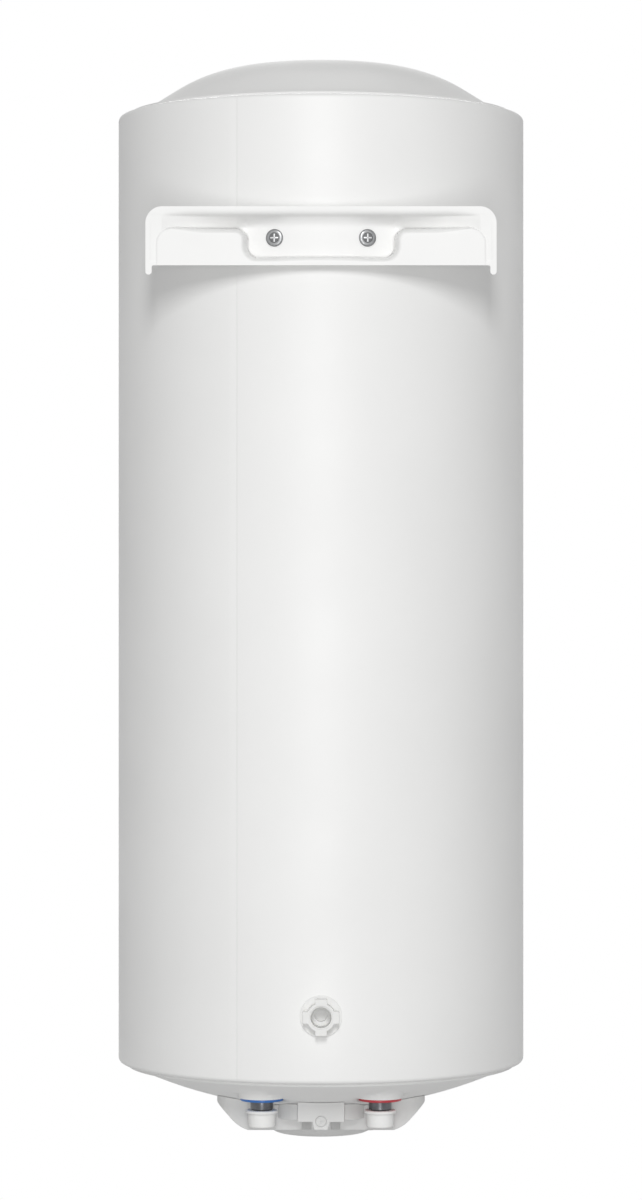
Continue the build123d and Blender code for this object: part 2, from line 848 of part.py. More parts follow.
def make_bottom_cover():
    cover = cover_fill(0) - cover_fill(cover_wall)
    tab = Polyline((-tab_half, -nose_floor), (tab_half, -nose_floor), (tab_foot_half, -tab_floor),
                   (-tab_foot_half, -tab_floor), close=True)
    front = Plane(origin=(0, nose_face, 0), x_dir=(1, 0, 0), z_dir=(0, -1, 0))
    cover += extrude(front * make_face(tab), cover_wall)
    cover -= pan_fill(-fit_gap)
    cover -= rod(knob_radius + knob_gap, -belly_floor - over, -belly_floor + over, 0, control_y)
    cover -= rod_y(cover_screw_radius + slide_gap, nose_face - cover_screw_length - over, nose_face + over,
                   z=-cover_screw_level)
    cover -= rod_y(cover_screw_recess, nose_face - recess_depth, nose_face + over, z=-cover_screw_level)
    half = bracket_leg_half + fit_gap
    leg_slot = block(-half, half, bracket_face - bracket_leg - fit_gap, nose_face - cover_wall,
                     -nose_floor - over, -nose_floor + cover_wall + fit_gap)
    cover -= leg_slot
    below = -cover_floor - over
    for side in (-1, 1):
        x_low = min(side * notch_inner, side * notch_outer)
        x_high = max(side * notch_inner, side * notch_outer)
        cover -= block(x_low, x_high, cover_back - notch_depth, cover_back + over, below,
                       -cover_floor + notch_height)
        cover -= rod(cover_screw_radius + slide_gap, below, cover_inside + over, side * post_x)
    cover -= rod(grommet_body + slide_gap, below, cover_inside + over, grommet_x, grommet_y)
    cover -= rod(lamp_radius + slide_gap, below, cover_inside + over, 0, lamp_y)
    return cover


def cover_screw():
    screw = rod(cover_screw_radius, 0, cover_screw_length)
    head = rod(cover_screw_head, -cover_head_height, 0)
    head = fillet(head.edges().group_by(Axis.Z)[0], cover_head_height / 2)
    slot = block(-cover_cross_half, cover_cross_half, -cover_screw_head / 2, cover_screw_head / 2,
                 -cover_head_height - over, -cover_head_height / 2)
    return screw + head - slot - Rot(0, 0, 90) * slot


def make_cover_screws():
    rear = Pos(0, nose_face - recess_depth, -cover_screw_level) * Rot(90, 0, 0) * cover_screw()
    sides = [Pos(side * post_x, 0, -cover_floor) * cover_screw() for side in (-1, 1)]
    return spread([rear] + sides)


def make_cover_bracket():
    half = bracket_leg_half
    low = -cover_screw_level - bracket_tail
    leg = block(-half, half, bracket_face - bracket_leg, bracket_face, low, 0)
    foot = block(-half, half, bracket_face - bracket_foot, bracket_face, -cover_shoulder - bracket_leg, 0)
    plate = leg + foot - pan_fill(-fit_gap)
    hole = rod_y(cover_screw_radius + slide_gap, 0, wall_y, z=-cover_screw_level)
    return plate - hole


def make_cover_posts():
    posts = []
    for side in (-1, 1):
        post = rod(post_radius, cover_inside + fit_gap, 0, side * post_x) - pan_fill(-fit_gap)
        end = -cover_floor + cover_screw_length + fit_gap
        posts.append(post - rod(cover_screw_radius + slide_gap, cover_inside, end, side * post_x))
    return spread(posts)


# Supply side under the cover
def make_grommet():
    low = -cover_floor - grommet_lip
    body = rod(grommet_body, low, cover_inside + grommet_lip, grommet_x, grommet_y)
    body += rod(grommet_flange, low, -cover_floor, grommet_x, grommet_y)
    body += rod(grommet_flange, cover_inside, cover_inside + grommet_lip, grommet_x, grommet_y)
    return body - rod(grommet_bore, low - over, cover_inside + over, grommet_x, grommet_y)


terminal_front = block_y - block_length / 2
terminal_z = cover_inside + block_height / 2
terminal_x = (-terminal_pitch, 0.0, terminal_pitch)


def make_terminal_block():
    top = cover_inside + block_height
    back = terminal_front + block_length
    body = block(-block_half, block_half, terminal_front, back, cover_inside, top)
    body = chamfer(body.edges().filter_by(Axis.X).group_by(Axis.Z)[-1], block_grip / 2)
    for x in terminal_x:
        body -= rod(block_grip, terminal_z, top + over, x, block_y)
    return body


def make_lamp_holder():
    bore = lamp_radius - lamp_wall
    ring = tube(lamp_radius, bore, -cover_floor, cover_inside + lamp_body, 0, lamp_y)
    return ring + tube(lamp_ring, bore, cover_inside, cover_inside + lamp_flange, 0, lamp_y)


def make_lamp_lens():
    radius = lamp_radius - lamp_wall - slide_gap
    lens = rod(radius, -cover_floor - lamp_proud, cover_inside + lamp_body / 2, 0, lamp_y)
    return fillet(lens.edges().group_by(Axis.Z)[0], lens_round)


def make_wire(points, bend):
    path = FilletPolyline(*points, radius=bend)
    section = Plane(origin=path @ 0, z_dir=path % 0) * Circle(wire_radius)
    return sweep(section, path=path)


wire_z = thermostat_face + wire_rise
pin_face = flange_face - pin_length - fit_gap
earth_x, earth_y = earth_place()
rear_face = control_y + thermostat_length / 2 + fit_gap
front_face = control_y - thermostat_length / 2 - fit_gap
exit_y = terminal_front - fit_gap
turn_y = exit_y - wire_bend
run_y = turn_y - wire_slope


def from_terminal(x):
    return [(x, exit_y, terminal_z), (x, turn_y, terminal_z), (x, run_y, wire_z)]


def make_live_wire():
    ends = [(-live_offset, rear_face + wire_lead, wire_z), (-live_offset, rear_face, wire_z)]
    return make_wire(from_terminal(terminal_x[0]) + ends, wire_tight)


def make_neutral_wire():
    x, y = element_places[-1]
    points = from_terminal(terminal_x[1]) + [(x, y, wire_z), (x, y, pin_face)]
    return make_wire(points, wire_tight)


def make_earth_wire():
    points = from_terminal(terminal_x[2]) + [(earth_x, earth_y, wire_z), (earth_x, earth_y, pin_face)]
    return make_wire(points, wire_tight)


def make_lamp_lead():
    level = cover_inside + lamp_body + fit_gap
    start = [(0, lamp_y, level), (0, lamp_y, level + wire_bend)]
    ends = [(0, front_face - wire_lead, wire_z), (0, front_face, wire_z)]
    return make_wire(start + ends, wire_tight)


parts = {
    "outer_shell": make_outer_shell(),
    "top_cap": make_top_cap(),
    "bottom_cap": make_bottom_cap(),
    "insulation_foam": make_foam(),
    "tank_body": tank_span(weld_low, weld_high),
    "tank_top_head": tank_span(weld_high, tank_high + over),
    "tank_bottom_head": make_bottom_head(),
    "hanger_strap": strap_band(0),
    "hanger_bosses": make_hanger_bosses(),
    "wall_bracket": make_wall_bracket(),
    "bracket_screws": spread(around(side * screw_angle, screw_z, make_bracket_screw()) for side in (-1, 1)),
    "spacer_base": make_spacer_base(),
    "wall_spacer": make_wall_spacer(),
    "spacer_ring": Pos(0, 0, spacer_level) * seal_ring(seal_section),
    "flange_neck": make_flange_neck(),
    "flange_studs": on_studs(rod(stud_radius, nut_face - stud_tail, neck_face + neck_ring)),
    "flange_gasket": make_gasket(),
    "element_flange": make_element_flange(),
    "flange_nuts": on_studs(Pos(0, 0, nut_face) * nut(nut_across_flats, nut_height, stud_radius + slide_gap)),
    "element_left": make_element(-element_x),
    "element_right": make_element(element_x),
    "thermowell": make_thermowell(),
    "anode_rod": make_anode(),
    "anode_nut": Pos(0, anode_y, flange_face - anode_nut_height)
    * nut(anode_nut_flats, anode_nut_height, anode_stud + slide_gap),
    "earth_stud": rod(earth_radius, flange_face - pin_length, flange_top, earth_x, earth_y),
    "thermostat_body": make_thermostat(),
    "thermostat_spindle": make_spindle(),
    "control_knob": make_knob(),
    "safety_cutout": make_cutout(),
    "reset_button": make_reset_button(),
    "cold_nipple": make_nipple(1),
    "hot_nipple": make_nipple(-1),
    "cold_ring": make_colour_ring(1),
    "hot_ring": make_colour_ring(-1),
    "cold_cap": make_transport_cap(1),
    "hot_cap": make_transport_cap(-1),
    "cold_diffuser": make_diffuser(),
    "hot_standpipe": make_standpipe(),
    "bottom_cover": make_bottom_cover(),
    "cover_screws": make_cover_screws(),
    "cover_bracket": make_cover_bracket(),
    "cover_posts": make_cover_posts(),
    "cable_grommet": make_grommet(),
    "terminal_block": make_terminal_block(),
    "lamp_holder": make_lamp_holder(),
    "lamp_lens": make_lamp_lens(),
    "live_wire": make_live_wire(),
    "neutral_wire": make_neutral_wire(),
    "earth_wire": make_earth_wire(),
    "lamp_lead": make_lamp_lead(),
}

origin_level = bracket_base + bottom_strip / 2
to_wall = Pos(0, -wall_y, -origin_level)

os.makedirs("parts", exist_ok=True)
for name, shape in parts.items():
    export_step(to_wall * shape, f"parts/{name}.step")
    print(name, round(shape.volume / 1000, 2), "cm3")
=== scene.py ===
import json
import math

import bmesh
import bpy
import numpy as np
from mathutils import Matrix, Vector


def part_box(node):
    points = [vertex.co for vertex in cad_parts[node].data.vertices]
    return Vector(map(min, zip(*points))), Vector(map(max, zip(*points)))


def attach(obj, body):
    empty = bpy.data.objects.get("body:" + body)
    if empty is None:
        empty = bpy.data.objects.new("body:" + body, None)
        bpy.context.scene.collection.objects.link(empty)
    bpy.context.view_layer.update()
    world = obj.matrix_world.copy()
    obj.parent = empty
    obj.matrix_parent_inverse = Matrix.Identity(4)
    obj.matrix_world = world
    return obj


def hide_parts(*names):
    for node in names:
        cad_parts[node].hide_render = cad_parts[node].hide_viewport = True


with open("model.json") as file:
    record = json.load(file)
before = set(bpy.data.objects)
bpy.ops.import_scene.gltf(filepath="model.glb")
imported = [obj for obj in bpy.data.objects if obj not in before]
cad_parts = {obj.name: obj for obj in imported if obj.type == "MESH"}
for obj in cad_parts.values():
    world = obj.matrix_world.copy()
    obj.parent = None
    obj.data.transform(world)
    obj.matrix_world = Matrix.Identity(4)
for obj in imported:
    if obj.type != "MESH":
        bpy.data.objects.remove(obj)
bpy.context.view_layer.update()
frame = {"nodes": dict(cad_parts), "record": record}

# A wall-hung storage water heater seen from behind, as it is before it goes on its hooks.
# Lengths are millimetres, measured from the tank's axis and the drum's lower rim; +Y is towards the wall.
mm = 0.001
drumLow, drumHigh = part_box("outer_shell")
drumRadius = (drumHigh.x - drumLow.x) / 2 / mm
drumHeight = (drumHigh.z - drumLow.z) / mm
tankFoot = Vector((0, (drumLow.y + drumHigh.y) / 2, drumLow.z))
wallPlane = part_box("wall_bracket")[1].y / mm - tankFoot.y / mm
print("frame: drum", round(2 * drumRadius), "mm across and", round(drumHeight), "mm high")


def place(x, y, z):
    return tankFoot + Vector((x, y, z)) * mm


def standing(x, y, z=0.0):
    return Matrix.Translation(place(x, y, z)) @ Matrix.Scale(mm, 4)


towardsWall = Matrix.Rotation(-math.pi / 2, 4, "X")     # an upright piece's top then faces the wall
upsideDown = Matrix.Rotation(math.pi, 4, "X")
weld = 2e-6     # metres; points nearer than this are one


# Shading helpers

def hexColour(code):
    parts = [int(code[i:i + 2], 16) / 255 for i in (1, 3, 5)]
    return [c / 12.92 if c <= 0.04045 else ((c + 0.055) / 1.055) ** 2.4 for c in parts] + [1.0]


# Adds a node with its settings and links and gives back one output, or all of them
def addNode(tree, kind, inputs=None, out=0, **settings):
    node = tree.nodes.new(kind)
    for name, value in settings.items():
        setattr(node, name, value)
    for key, value in (inputs or {}).items():
        if isinstance(value, bpy.types.NodeSocket):
            tree.links.new(value, node.inputs[key])
        else:
            node.inputs[key].default_value = value
    return node.outputs if out is None else node.outputs[out]


def emptyTree(owner):
    owner.use_nodes = True
    owner.node_tree.nodes.clear()
    return owner.node_tree


# One pattern cell for each size in millimetres, which is one number or one for each axis
def perMetre(size):
    sizes = size if isinstance(size, tuple) else (size, size, size)
    return [1 / (s * mm) for s in sizes]


noiseSpan = (0.32, 0.68)     # most of a noise's values lie in here
blendSpan = (0.4, 1.4)     # and most of a cloud and a grain added up in here


def finish(name, look):
    material = bpy.data.materials.new(name)
    tree = emptyTree(material)
    spot = addNode(tree, "ShaderNodeTexCoord", out="Object")
    broad = addNode(tree, "ShaderNodeMapping", {"Vector": spot, "Scale": perMetre(look["cloud"])})
    cloud = addNode(tree, "ShaderNodeTexNoise", {"Vector": broad, "Scale": 1.0, "Detail": 4.0})
    low, high = noiseSpan
    spread = addNode(tree, "ShaderNodeMapRange", {0: cloud, 1: low, 2: high})
    first, second = look["colours"]
    colour = addNode(tree, "ShaderNodeMix", {0: spread, 6: hexColour(first), 7: hexColour(second)},
                     data_type="RGBA", out=2)
    fine = addNode(tree, "ShaderNodeMapping", {"Vector": spot, "Scale": perMetre(look["grain"])})
    if look.get("cells"):
        grain = addNode(tree, "ShaderNodeTexVoronoi", {"Vector": fine, "Scale": 1.0}, out="Distance")
    else:
        grain = addNode(tree, "ShaderNodeTexNoise", {"Vector": fine, "Scale": 1.0, "Detail": 2.0})
    smooth, dull = look["roughness"]
    blend = addNode(tree, "ShaderNodeMath", {0: spread, 1: grain}, operation="ADD")
    low, high = blendSpan
    rough = addNode(tree, "ShaderNodeMapRange", {0: blend, 1: low, 2: high, 3: smooth, 4: dull})
    relief = addNode(tree, "ShaderNodeBump",
                     {"Height": grain, "Distance": look["bump"] * mm, "Strength": 1.0})
    surface = {"Base Color": colour, "Roughness": rough, "Normal": relief, **look.get("sockets", {})}
    shader = addNode(tree, "ShaderNodeBsdfPrincipled", surface)
    addNode(tree, "ShaderNodeOutputMaterial", {"Surface": shader}, out=None)
    return material


# Cloud and grain are sizes in millimetres. Plating, tool marks and mould texture are too fine to show,
# so their grain is drawn coarser than it is.
finishes = {}

# Powder-coated sheet steel: a baked white skin with a wide soft sheen and a faint orange peel
finishes["white_enamel"] = finish("powderCoatedSteel", {
    "colours": ("#F3F3F2", "#F0F0EF"), "cloud": 160, "roughness": (0.40, 0.46),
    "grain": 2.4, "bump": 0.006, "sockets": {"IOR": 1.42}})

# The same powder on the pressed caps: blown on thinner, so it dries duller and shows less of the room
capEnamel = finish("mattPowderCoat", {
    "colours": ("#F6F6F5", "#F2F2F1"), "cloud": 120, "roughness": (0.72, 0.8),
    "grain": 2.4, "bump": 0.008, "sockets": {"IOR": 1.4, "Specular IOR Level": 0.15}})

# Foamed polyurethane: cream, matt, with open cells where it was cut
finishes["polyurethane_foam"] = finish("polyurethaneFoam", {
    "colours": ("#EBDDB2", "#D9C48C"), "cloud": 35, "roughness": (0.85, 0.95),
    "grain": 1.6, "bump": 0.5, "cells": True})

# Rolled steel plate of the tank: grey, drawn out along the rolling direction
finishes["tank_steel"] = finish("rolledTankSteel", {
    "colours": ("#A6A8AA", "#8C8F92"), "cloud": (60, 60, 220), "roughness": (0.34, 0.5),
    "grain": (0.8, 0.8, 30), "bump": 0.01, "sockets": {"Metallic": 1.0}})

# Bright zinc plating: pale metal, a little cloudy
finishes["zinc_steel"] = finish("zincPlatedSteel", {
    "colours": ("#9A9B9C", "#838485"), "cloud": 5, "roughness": (0.3, 0.42),
    "grain": 0.5, "bump": 0.008, "sockets": {"Metallic": 1.0}})

# The same plating down in a screw's recess, darkened as painted shade for the shade in the recess
shadedRecessZinc = finish("recessZincPaintedShade", {
    "colours": ("#5E5F60", "#6B6C6D"), "cloud": 3, "roughness": (0.4, 0.55),
    "grain": 0.5, "bump": 0.01, "sockets": {"Metallic": 0.6}})

# And on the cross in the recess, lightened as a painted highlight
highlightCrossZinc = finish("crossZincPaintedHighlight", {
    "colours": ("#DDDEDF", "#CFD0D1"), "cloud": 3, "roughness": (0.35, 0.5),
    "grain": 0.5, "bump": 0.006, "sockets": {"Metallic": 0.4}})

# Turned pipe steel, blacked: dark, with tool marks that run round the pipe
finishes["pipe_steel"] = finish("blackedPipeSteel", {
    "colours": ("#66676A", "#56575A"), "cloud": (9, 9, 5), "roughness": (0.27, 0.37),
    "grain": (40, 40, 0.45), "bump": 0.012, "sockets": {"Metallic": 0.8}})

# Element sheath: nickel steel that has been through the furnace, so it is brownish and half dull
finishes["element_sheath"] = finish("annealedSheath", {
    "colours": ("#A3968A", "#84776C"), "cloud": (16, 16, 40), "roughness": (0.32, 0.46),
    "grain": 1.0, "bump": 0.01, "sockets": {"Metallic": 1.0}})

# Cast magnesium: light grey and dull, with a grainy skin
finishes["magnesium"] = finish("castMagnesium", {
    "colours": ("#C6C6C1", "#B2B2AD"), "cloud": (12, 12, 30), "roughness": (0.55, 0.7),
    "grain": 1.4, "bump": 0.05, "sockets": {"Metallic": 0.9}})

# Moulded rubber: near black, dull, with a bloom
finishes["black_rubber"] = finish("mouldedRubber", {
    "colours": ("#222223", "#2D2D2E"), "cloud": 7, "roughness": (0.62, 0.78),
    "grain": 0.7, "bump": 0.02})

# White polypropylene: waxy, lets a little light in at the edges
finishes["white_plastic"] = finish("whitePolypropylene", {
    "colours": ("#EFEFEE", "#EBEBE9"), "cloud": 20, "roughness": (0.54, 0.62),
    "grain": 1.2, "bump": 0.006,
    "sockets": {"IOR": 1.42, "Specular IOR Level": 0.25, "Subsurface Weight": 0.12,
                "Subsurface Radius": (1.0, 1.0, 0.9), "Subsurface Scale": 0.003}})

# White ABS of the cover: a fine spark-eroded mould texture, duller than the drum
finishes["cover_plastic"] = finish("texturedAbs", {
    "colours": ("#E1E1E0", "#DCDCDB"), "cloud": 45, "roughness": (0.5, 0.58),
    "grain": 1.1, "bump": 0.012, "sockets": {"IOR": 1.5}})

# The same ABS, greyer and rougher, on thin sheets laid on the floor of the two rear notches; the grey is
# painted shade for the shade down in the notches
notchShadeAbs = finish("notchPaintedShadeAbs", {
    "colours": ("#C6C6C5", "#BFBFBE"), "cloud": 9, "roughness": (0.7, 0.8),
    "grain": 0.6, "bump": 0.03, "sockets": {"IOR": 1.5}})

# Blue polypropylene of the cold side: moulded in one clear colour, with a soft gloss
finishes["blue_plastic"] = finish("bluePolypropylene", {
    "colours": ("#3170BC", "#2C69B4"), "cloud": 9, "roughness": (0.3, 0.38),
    "grain": 1.2, "bump": 0.008})

# Red polypropylene of the hot side: the same soft gloss
finishes["red_plastic"] = finish("redPolypropylene", {
    "colours": ("#C03641", "#B8303B"), "cloud": 9, "roughness": (0.3, 0.38),
    "grain": 1.2, "bump": 0.008})

# Black thermoset of the switches and terminals: dense, pressed, with a dull shine
finishes["black_plastic"] = finish("blackThermoset", {
    "colours": ("#262728", "#303132"), "cloud": 11, "roughness": (0.4, 0.52),
    "grain": 0.9, "bump": 0.015})

# Pale grey ABS of the knob, matt so that a thumb holds
finishes["knob_plastic"] = finish("greyKnobAbs", {
    "colours": ("#D6D7D8", "#CECFD1"), "cloud": 14, "roughness": (0.42, 0.5),
    "grain": 0.9, "bump": 0.015})

# Red clear polycarbonate of the lamp: glossy, and light goes some way in
finishes["red_lens"] = finish("redPolycarbonate", {
    "colours": ("#C22A2A", "#B32222"), "cloud": 4, "roughness": (0.1, 0.16),
    "grain": 0.8, "bump": 0.004, "sockets": {"IOR": 1.58, "Transmission Weight": 0.45}})

# Wire insulation: soft vinyl in the three mains colours, drawn over the wire, with a dull shine
wireColours = {"brown_wire": ("#6B4126", "#5C3720"), "blue_wire": ("#2F62B4", "#2857A2"),
               "green_wire": ("#5E9A34", "#C9C13A")}
for slot, colours in wireColours.items():
    finishes[slot] = finish(slot.split("_")[0] + "Vinyl", {
        "colours": colours, "cloud": (3, 3, 9), "roughness": (0.36, 0.46),
        "grain": (0.6, 0.6, 2.0), "bump": 0.01})

for part in frame["record"]["subparts"]:
    mesh = frame["nodes"][part["node"]].data
    mesh.materials.clear()
    mesh.materials.append(finishes[part["material_slot"]])
print("finishes:", len(finishes), "materials on", len(frame["nodes"]), "nodes")


# Shape helpers

def arc(centre, radius, start, end, steps):
    angles = np.radians(np.linspace(start, end, steps + 1))
    return [(centre[0] + radius * math.cos(a), centre[1] + radius * math.sin(a)) for a in angles]


def addObject(name, data):
    obj = bpy.data.objects.new(name, data)
    bpy.context.scene.collection.objects.link(obj)
    return obj


def meshObject(name, bm, crease=34):
    mesh = bpy.data.meshes.new(name)
    bmesh.ops.recalc_face_normals(bm, faces=bm.faces)
    bm.to_mesh(mesh)
    bm.free()
    mesh.polygons.foreach_set("use_smooth", [True] * len(mesh.polygons))
    mesh.set_sharp_from_angle(angle=math.radians(crease))
    return addObject(name, mesh)


# Turns a line of (radius, height) points about an upright axis; a line that ends where it began closes
def lathe(name, line, stand, sides=128, crease=34):
    closed = line[0] == line[-1]
    points = line[:-1] if closed else line
    angles = [2 * math.pi * i / sides for i in range(sides)]
    bm = bmesh.new()
    rings = []
    for radius, height in points:
        if radius == 0:     # on the axis one point serves all sides
            rings.append([bm.verts.new((0, 0, height))] * sides)
        else:
            rings.append([bm.verts.new((radius * math.cos(a), radius * math.sin(a), height)) for a in angles])
    pairs = list(zip(rings, rings[1:])) + ([(rings[-1], rings[0])] if closed else [])
    for low, high in pairs:
        for i in range(sides):
            corners = list(dict.fromkeys((low[i - 1], low[i], high[i], high[i - 1])))
            if len(corners) > 2:
                bm.faces.new(corners)
    bm.transform(stand)
    return meshObject(name, bm, crease)


def bar(name, low, high, stand, edge=0.0):
    bm = bmesh.new()
    bmesh.ops.create_cube(bm, size=1.0)
    for v in bm.verts:
        v.co = [a + (c + 0.5) * (b - a) for a, b, c in zip(low, high, v.co)]
    if edge:
        bmesh.ops.bevel(bm, geom=bm.edges, offset=edge, segments=2, profile=0.5, affect="EDGES")
    bm.transform(stand)
    return meshObject(name, bm)


def joined(name, *objs):
    bm = bmesh.new()
    for obj in objs:
        bm.from_mesh(obj.data)
    discard(*objs)
    return meshObject(name, bm)


def thicken(obj, sheet):
    wall = obj.modifiers.new("sheet", "SOLIDIFY")
    wall.thickness = sheet * mm
    wall.offset = -1


def easeEdges(obj, width, crease, steps=3, clamp=False):
    ease = obj.modifiers.new("easedEdges", "BEVEL")
    ease.width = width * mm
    ease.segments = steps
    ease.limit_method = "ANGLE"
    ease.angle_limit = math.radians(crease)
    ease.use_clamp_overlap = clamp
    ease.harden_normals = True


flatAngle = math.radians(0.4)     # faces that meet at less than this are one flat


# A copy of a CAD piece with its triangles joined up, its flats made whole and its edges eased
def easedCopy(name, node, edge, crease=28):
    bm = bmesh.new()
    bm.from_mesh(frame["nodes"][node].data)
    bmesh.ops.remove_doubles(bm, verts=bm.verts, dist=weld)
    bmesh.ops.dissolve_limit(bm, angle_limit=flatAngle, verts=bm.verts, edges=bm.edges)
    obj = meshObject(name, bm, crease)
    if edge:
        easeEdges(obj, edge, crease)
    return obj


def settle(obj, slot, body, *replaced, material=None):
    obj.data.materials.clear()
    obj.data.materials.append(material or finishes[slot])
    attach(obj, body)
    if replaced:
        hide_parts(*replaced)


# Geometry Nodes helpers

def newTree(name, sockets):
    tree = bpy.data.node_groups.new(name, "GeometryNodeTree")
    tree.interface.new_socket("Geometry", in_out="INPUT", socket_type="NodeSocketGeometry")
    for label, kind in sockets.items():
        tree.interface.new_socket(label, in_out="INPUT", socket_type="NodeSocket" + kind)
    tree.interface.new_socket("Geometry", in_out="OUTPUT", socket_type="NodeSocketGeometry")
    return tree, tree.nodes.new("NodeGroupInput").outputs


def closeTree(tree, geometry, material):
    real = addNode(tree, "GeometryNodeRealizeInstances", {"Geometry": geometry})
    soft = addNode(tree, "GeometryNodeSetShadeSmooth", {"Geometry": real})
    dressed = addNode(tree, "GeometryNodeSetMaterial", {"Geometry": soft, "Material": material})
    addNode(tree, "NodeGroupOutput", {"Geometry": dressed}, out=None)


def grow(name, tree, values, crease=34):
    obj = addObject(name, bpy.data.meshes.new(name + "Seed"))
    modifier = obj.modifiers.new(tree.name, "NODES")
    modifier.node_group = tree
    for item in tree.interface.items_tree:
        if item.in_out == "INPUT" and item.name in values:
            modifier[item.identifier] = values[item.name]
    bpy.context.view_layer.update()
    graph = bpy.context.evaluated_depsgraph_get()
    mesh = bpy.data.meshes.new_from_object(obj.evaluated_get(graph), depsgraph=graph)
    mesh.name = name
    obj.modifiers.remove(modifier)
    obj.data = mesh
    mesh.set_sharp_from_angle(angle=math.radians(crease))
    return obj


def discard(*objs):
    for obj in objs:
        bpy.data.objects.remove(obj)


# Sets copies of one master around an upright axis, one for each step of angle
def ringTree():
    tree, given = newTree("ringOfCopies", {
        "Master": "Object", "Count": "Int", "Start": "Float", "Step": "Float", "Centre": "Vector",
        "Material": "Material"})
    points = addNode(tree, "GeometryNodePoints", {"Count": given["Count"]})
    index = addNode(tree, "GeometryNodeInputIndex")
    angle = addNode(tree, "ShaderNodeMath", {0: index, 1: given["Step"], 2: given["Start"]},
                    operation="MULTIPLY_ADD")
    turn = addNode(tree, "FunctionNodeAxisAngleToRotation", {"Axis": (0, 0, 1), "Angle": angle})
    master = addNode(tree, "GeometryNodeObjectInfo", {"Object": given["Master"]}, out="Geometry")
    copies = addNode(tree, "GeometryNodeInstanceOnPoints",
                     {"Points": points, "Instance": master, "Rotation": turn})
    moved = addNode(tree, "GeometryNodeTransform", {"Geometry": copies, "Translation": given["Centre"]})
    closeTree(tree, moved, given["Material"])
    return tree


copiesTree = ringTree()


# Drum: one rolled sheet, its ends curled in, closed by an upright seam

drum = {"rim": 5.0, "roll": 3.6, "lip": 8.5, "sheet": 0.6, "sides": 1440, "crease": 14, "seam": 23.5,
        "lapStart": 0.45, "lapDepth": 0.35, "lapWidth": 9.0, "holeLevel": 67.9, "holeHalf": 15.5}
# the rolled ends stand a little past the straight wall
drumFoot, drumTop = -drum["roll"], drumHeight + drum["roll"]


def drumLine():
    inner, bend = drumRadius - drum["lip"], drumRadius - drum["rim"]
    line = [(inner, drumFoot)] + arc((bend, drumFoot + drum["rim"]), drum["rim"], -90, 0, 8)
    line += [(drumRadius, drum["holeLevel"] + side * drum["holeHalf"]) for side in (-1, 1)]
    return line + arc((bend, drumTop - drum["rim"]), drum["rim"], 0, 90, 8) + [(inner, drumTop)]


def drumTree():
    tree, given = newTree("rolledDrum", {
        "Profile": "Object", "Sides": "Int", "Radius": "Float", "Seam": "Float", "Lap Start": "Float",
        "Lap Depth": "Float", "Lap Width": "Float", "Hole Level": "Float", "Hole Half": "Float",
        "Foot": "Vector", "Material": "Material"})
    outline = addNode(tree, "GeometryNodeObjectInfo", {"Object": given["Profile"]}, out="Geometry")
    profile = addNode(tree, "GeometryNodeMeshToCurve", {"Mesh": outline})
    ring = addNode(tree, "GeometryNodeCurvePrimitiveCircle",
                   {"Resolution": given["Sides"], "Radius": given["Radius"]})
    path = addNode(tree, "GeometryNodeSetCurveNormal", {"Curve": ring}, mode="Z_UP")
    skin = addNode(tree, "GeometryNodeCurveToMesh", {"Curve": path, "Profile Curve": profile})
    spot = addNode(tree, "GeometryNodeInputPosition")
    # the seam is a lap: one edge of the sheet dips under the other
    sine = addNode(tree, "ShaderNodeMath", {0: given["Seam"]}, operation="SINE")
    cosine = addNode(tree, "ShaderNodeMath", {0: given["Seam"]}, operation="COSINE")
    outward = addNode(tree, "ShaderNodeCombineXYZ", {0: sine, 1: cosine})
    along = addNode(tree, "ShaderNodeVectorMath", {0: outward, 1: (0, 0, 1)}, operation="CROSS_PRODUCT")
    aside = addNode(tree, "ShaderNodeVectorMath", {0: spot, 1: along}, operation="DOT_PRODUCT", out="Value")
    ahead = addNode(tree, "ShaderNodeVectorMath", {0: spot, 1: outward},
                    operation="DOT_PRODUCT", out="Value")
    beyond = addNode(tree, "FunctionNodeCompare", {"A": aside, "B": given["Lap Start"]},
                     operation="GREATER_THAN")
    front = addNode(tree, "FunctionNodeCompare", {"A": ahead, "B": 0.0}, operation="GREATER_THAN")
    onLap = addNode(tree, "FunctionNodeBooleanMath", {0: beyond, 1: front}, operation="AND")
    depth = addNode(tree, "ShaderNodeMath", {0: given["Lap Depth"], 1: -1.0}, operation="MULTIPLY")
    dip = addNode(tree, "ShaderNodeMapRange", {0: aside, 1: 0.0, 2: given["Lap Width"], 3: depth, 4: 0.0})
    press = addNode(tree, "ShaderNodeVectorMath", {0: outward, "Scale": dip}, operation="SCALE")
    seamed = addNode(tree, "GeometryNodeSetPosition",
                     {"Geometry": skin, "Selection": onLap, "Offset": press})
    # an opening behind the spacer's flange lets its tube in
    axes = addNode(tree, "ShaderNodeSeparateXYZ", {0: spot}, out=None)
    wide = addNode(tree, "ShaderNodeMath", {0: axes[0]}, operation="ABSOLUTE")
    level = addNode(tree, "ShaderNodeMath", {0: axes[2], 1: given["Hole Level"]}, operation="SUBTRACT")
    tall = addNode(tree, "ShaderNodeMath", {0: level}, operation="ABSOLUTE")
    far = addNode(tree, "ShaderNodeMath", {0: wide, 1: tall}, operation="MAXIMUM")
    within = addNode(tree, "FunctionNodeCompare", {"A": far, "B": given["Hole Half"]},
                     operation="LESS_THAN")
    back = addNode(tree, "FunctionNodeCompare", {"A": axes[1], "B": 0.0}, operation="GREATER_THAN")
    hole = addNode(tree, "FunctionNodeBooleanMath", {0: within, 1: back}, operation="AND")
    opened = addNode(tree, "GeometryNodeDeleteGeometry", {"Geometry": seamed, "Selection": hole},
                     domain="FACE")
    stood = addNode(tree, "GeometryNodeTransform", {"Geometry": opened, "Translation": given["Foot"]})
    closeTree(tree, stood, given["Material"])
    return tree


def profileObject(name, line):
    mesh = bpy.data.meshes.new(name)
    mesh.from_pydata([(r * mm, z * mm, 0) for r, z in line], [(i, i + 1) for i in range(len(line) - 1)], [])
    return addObject(name, mesh)


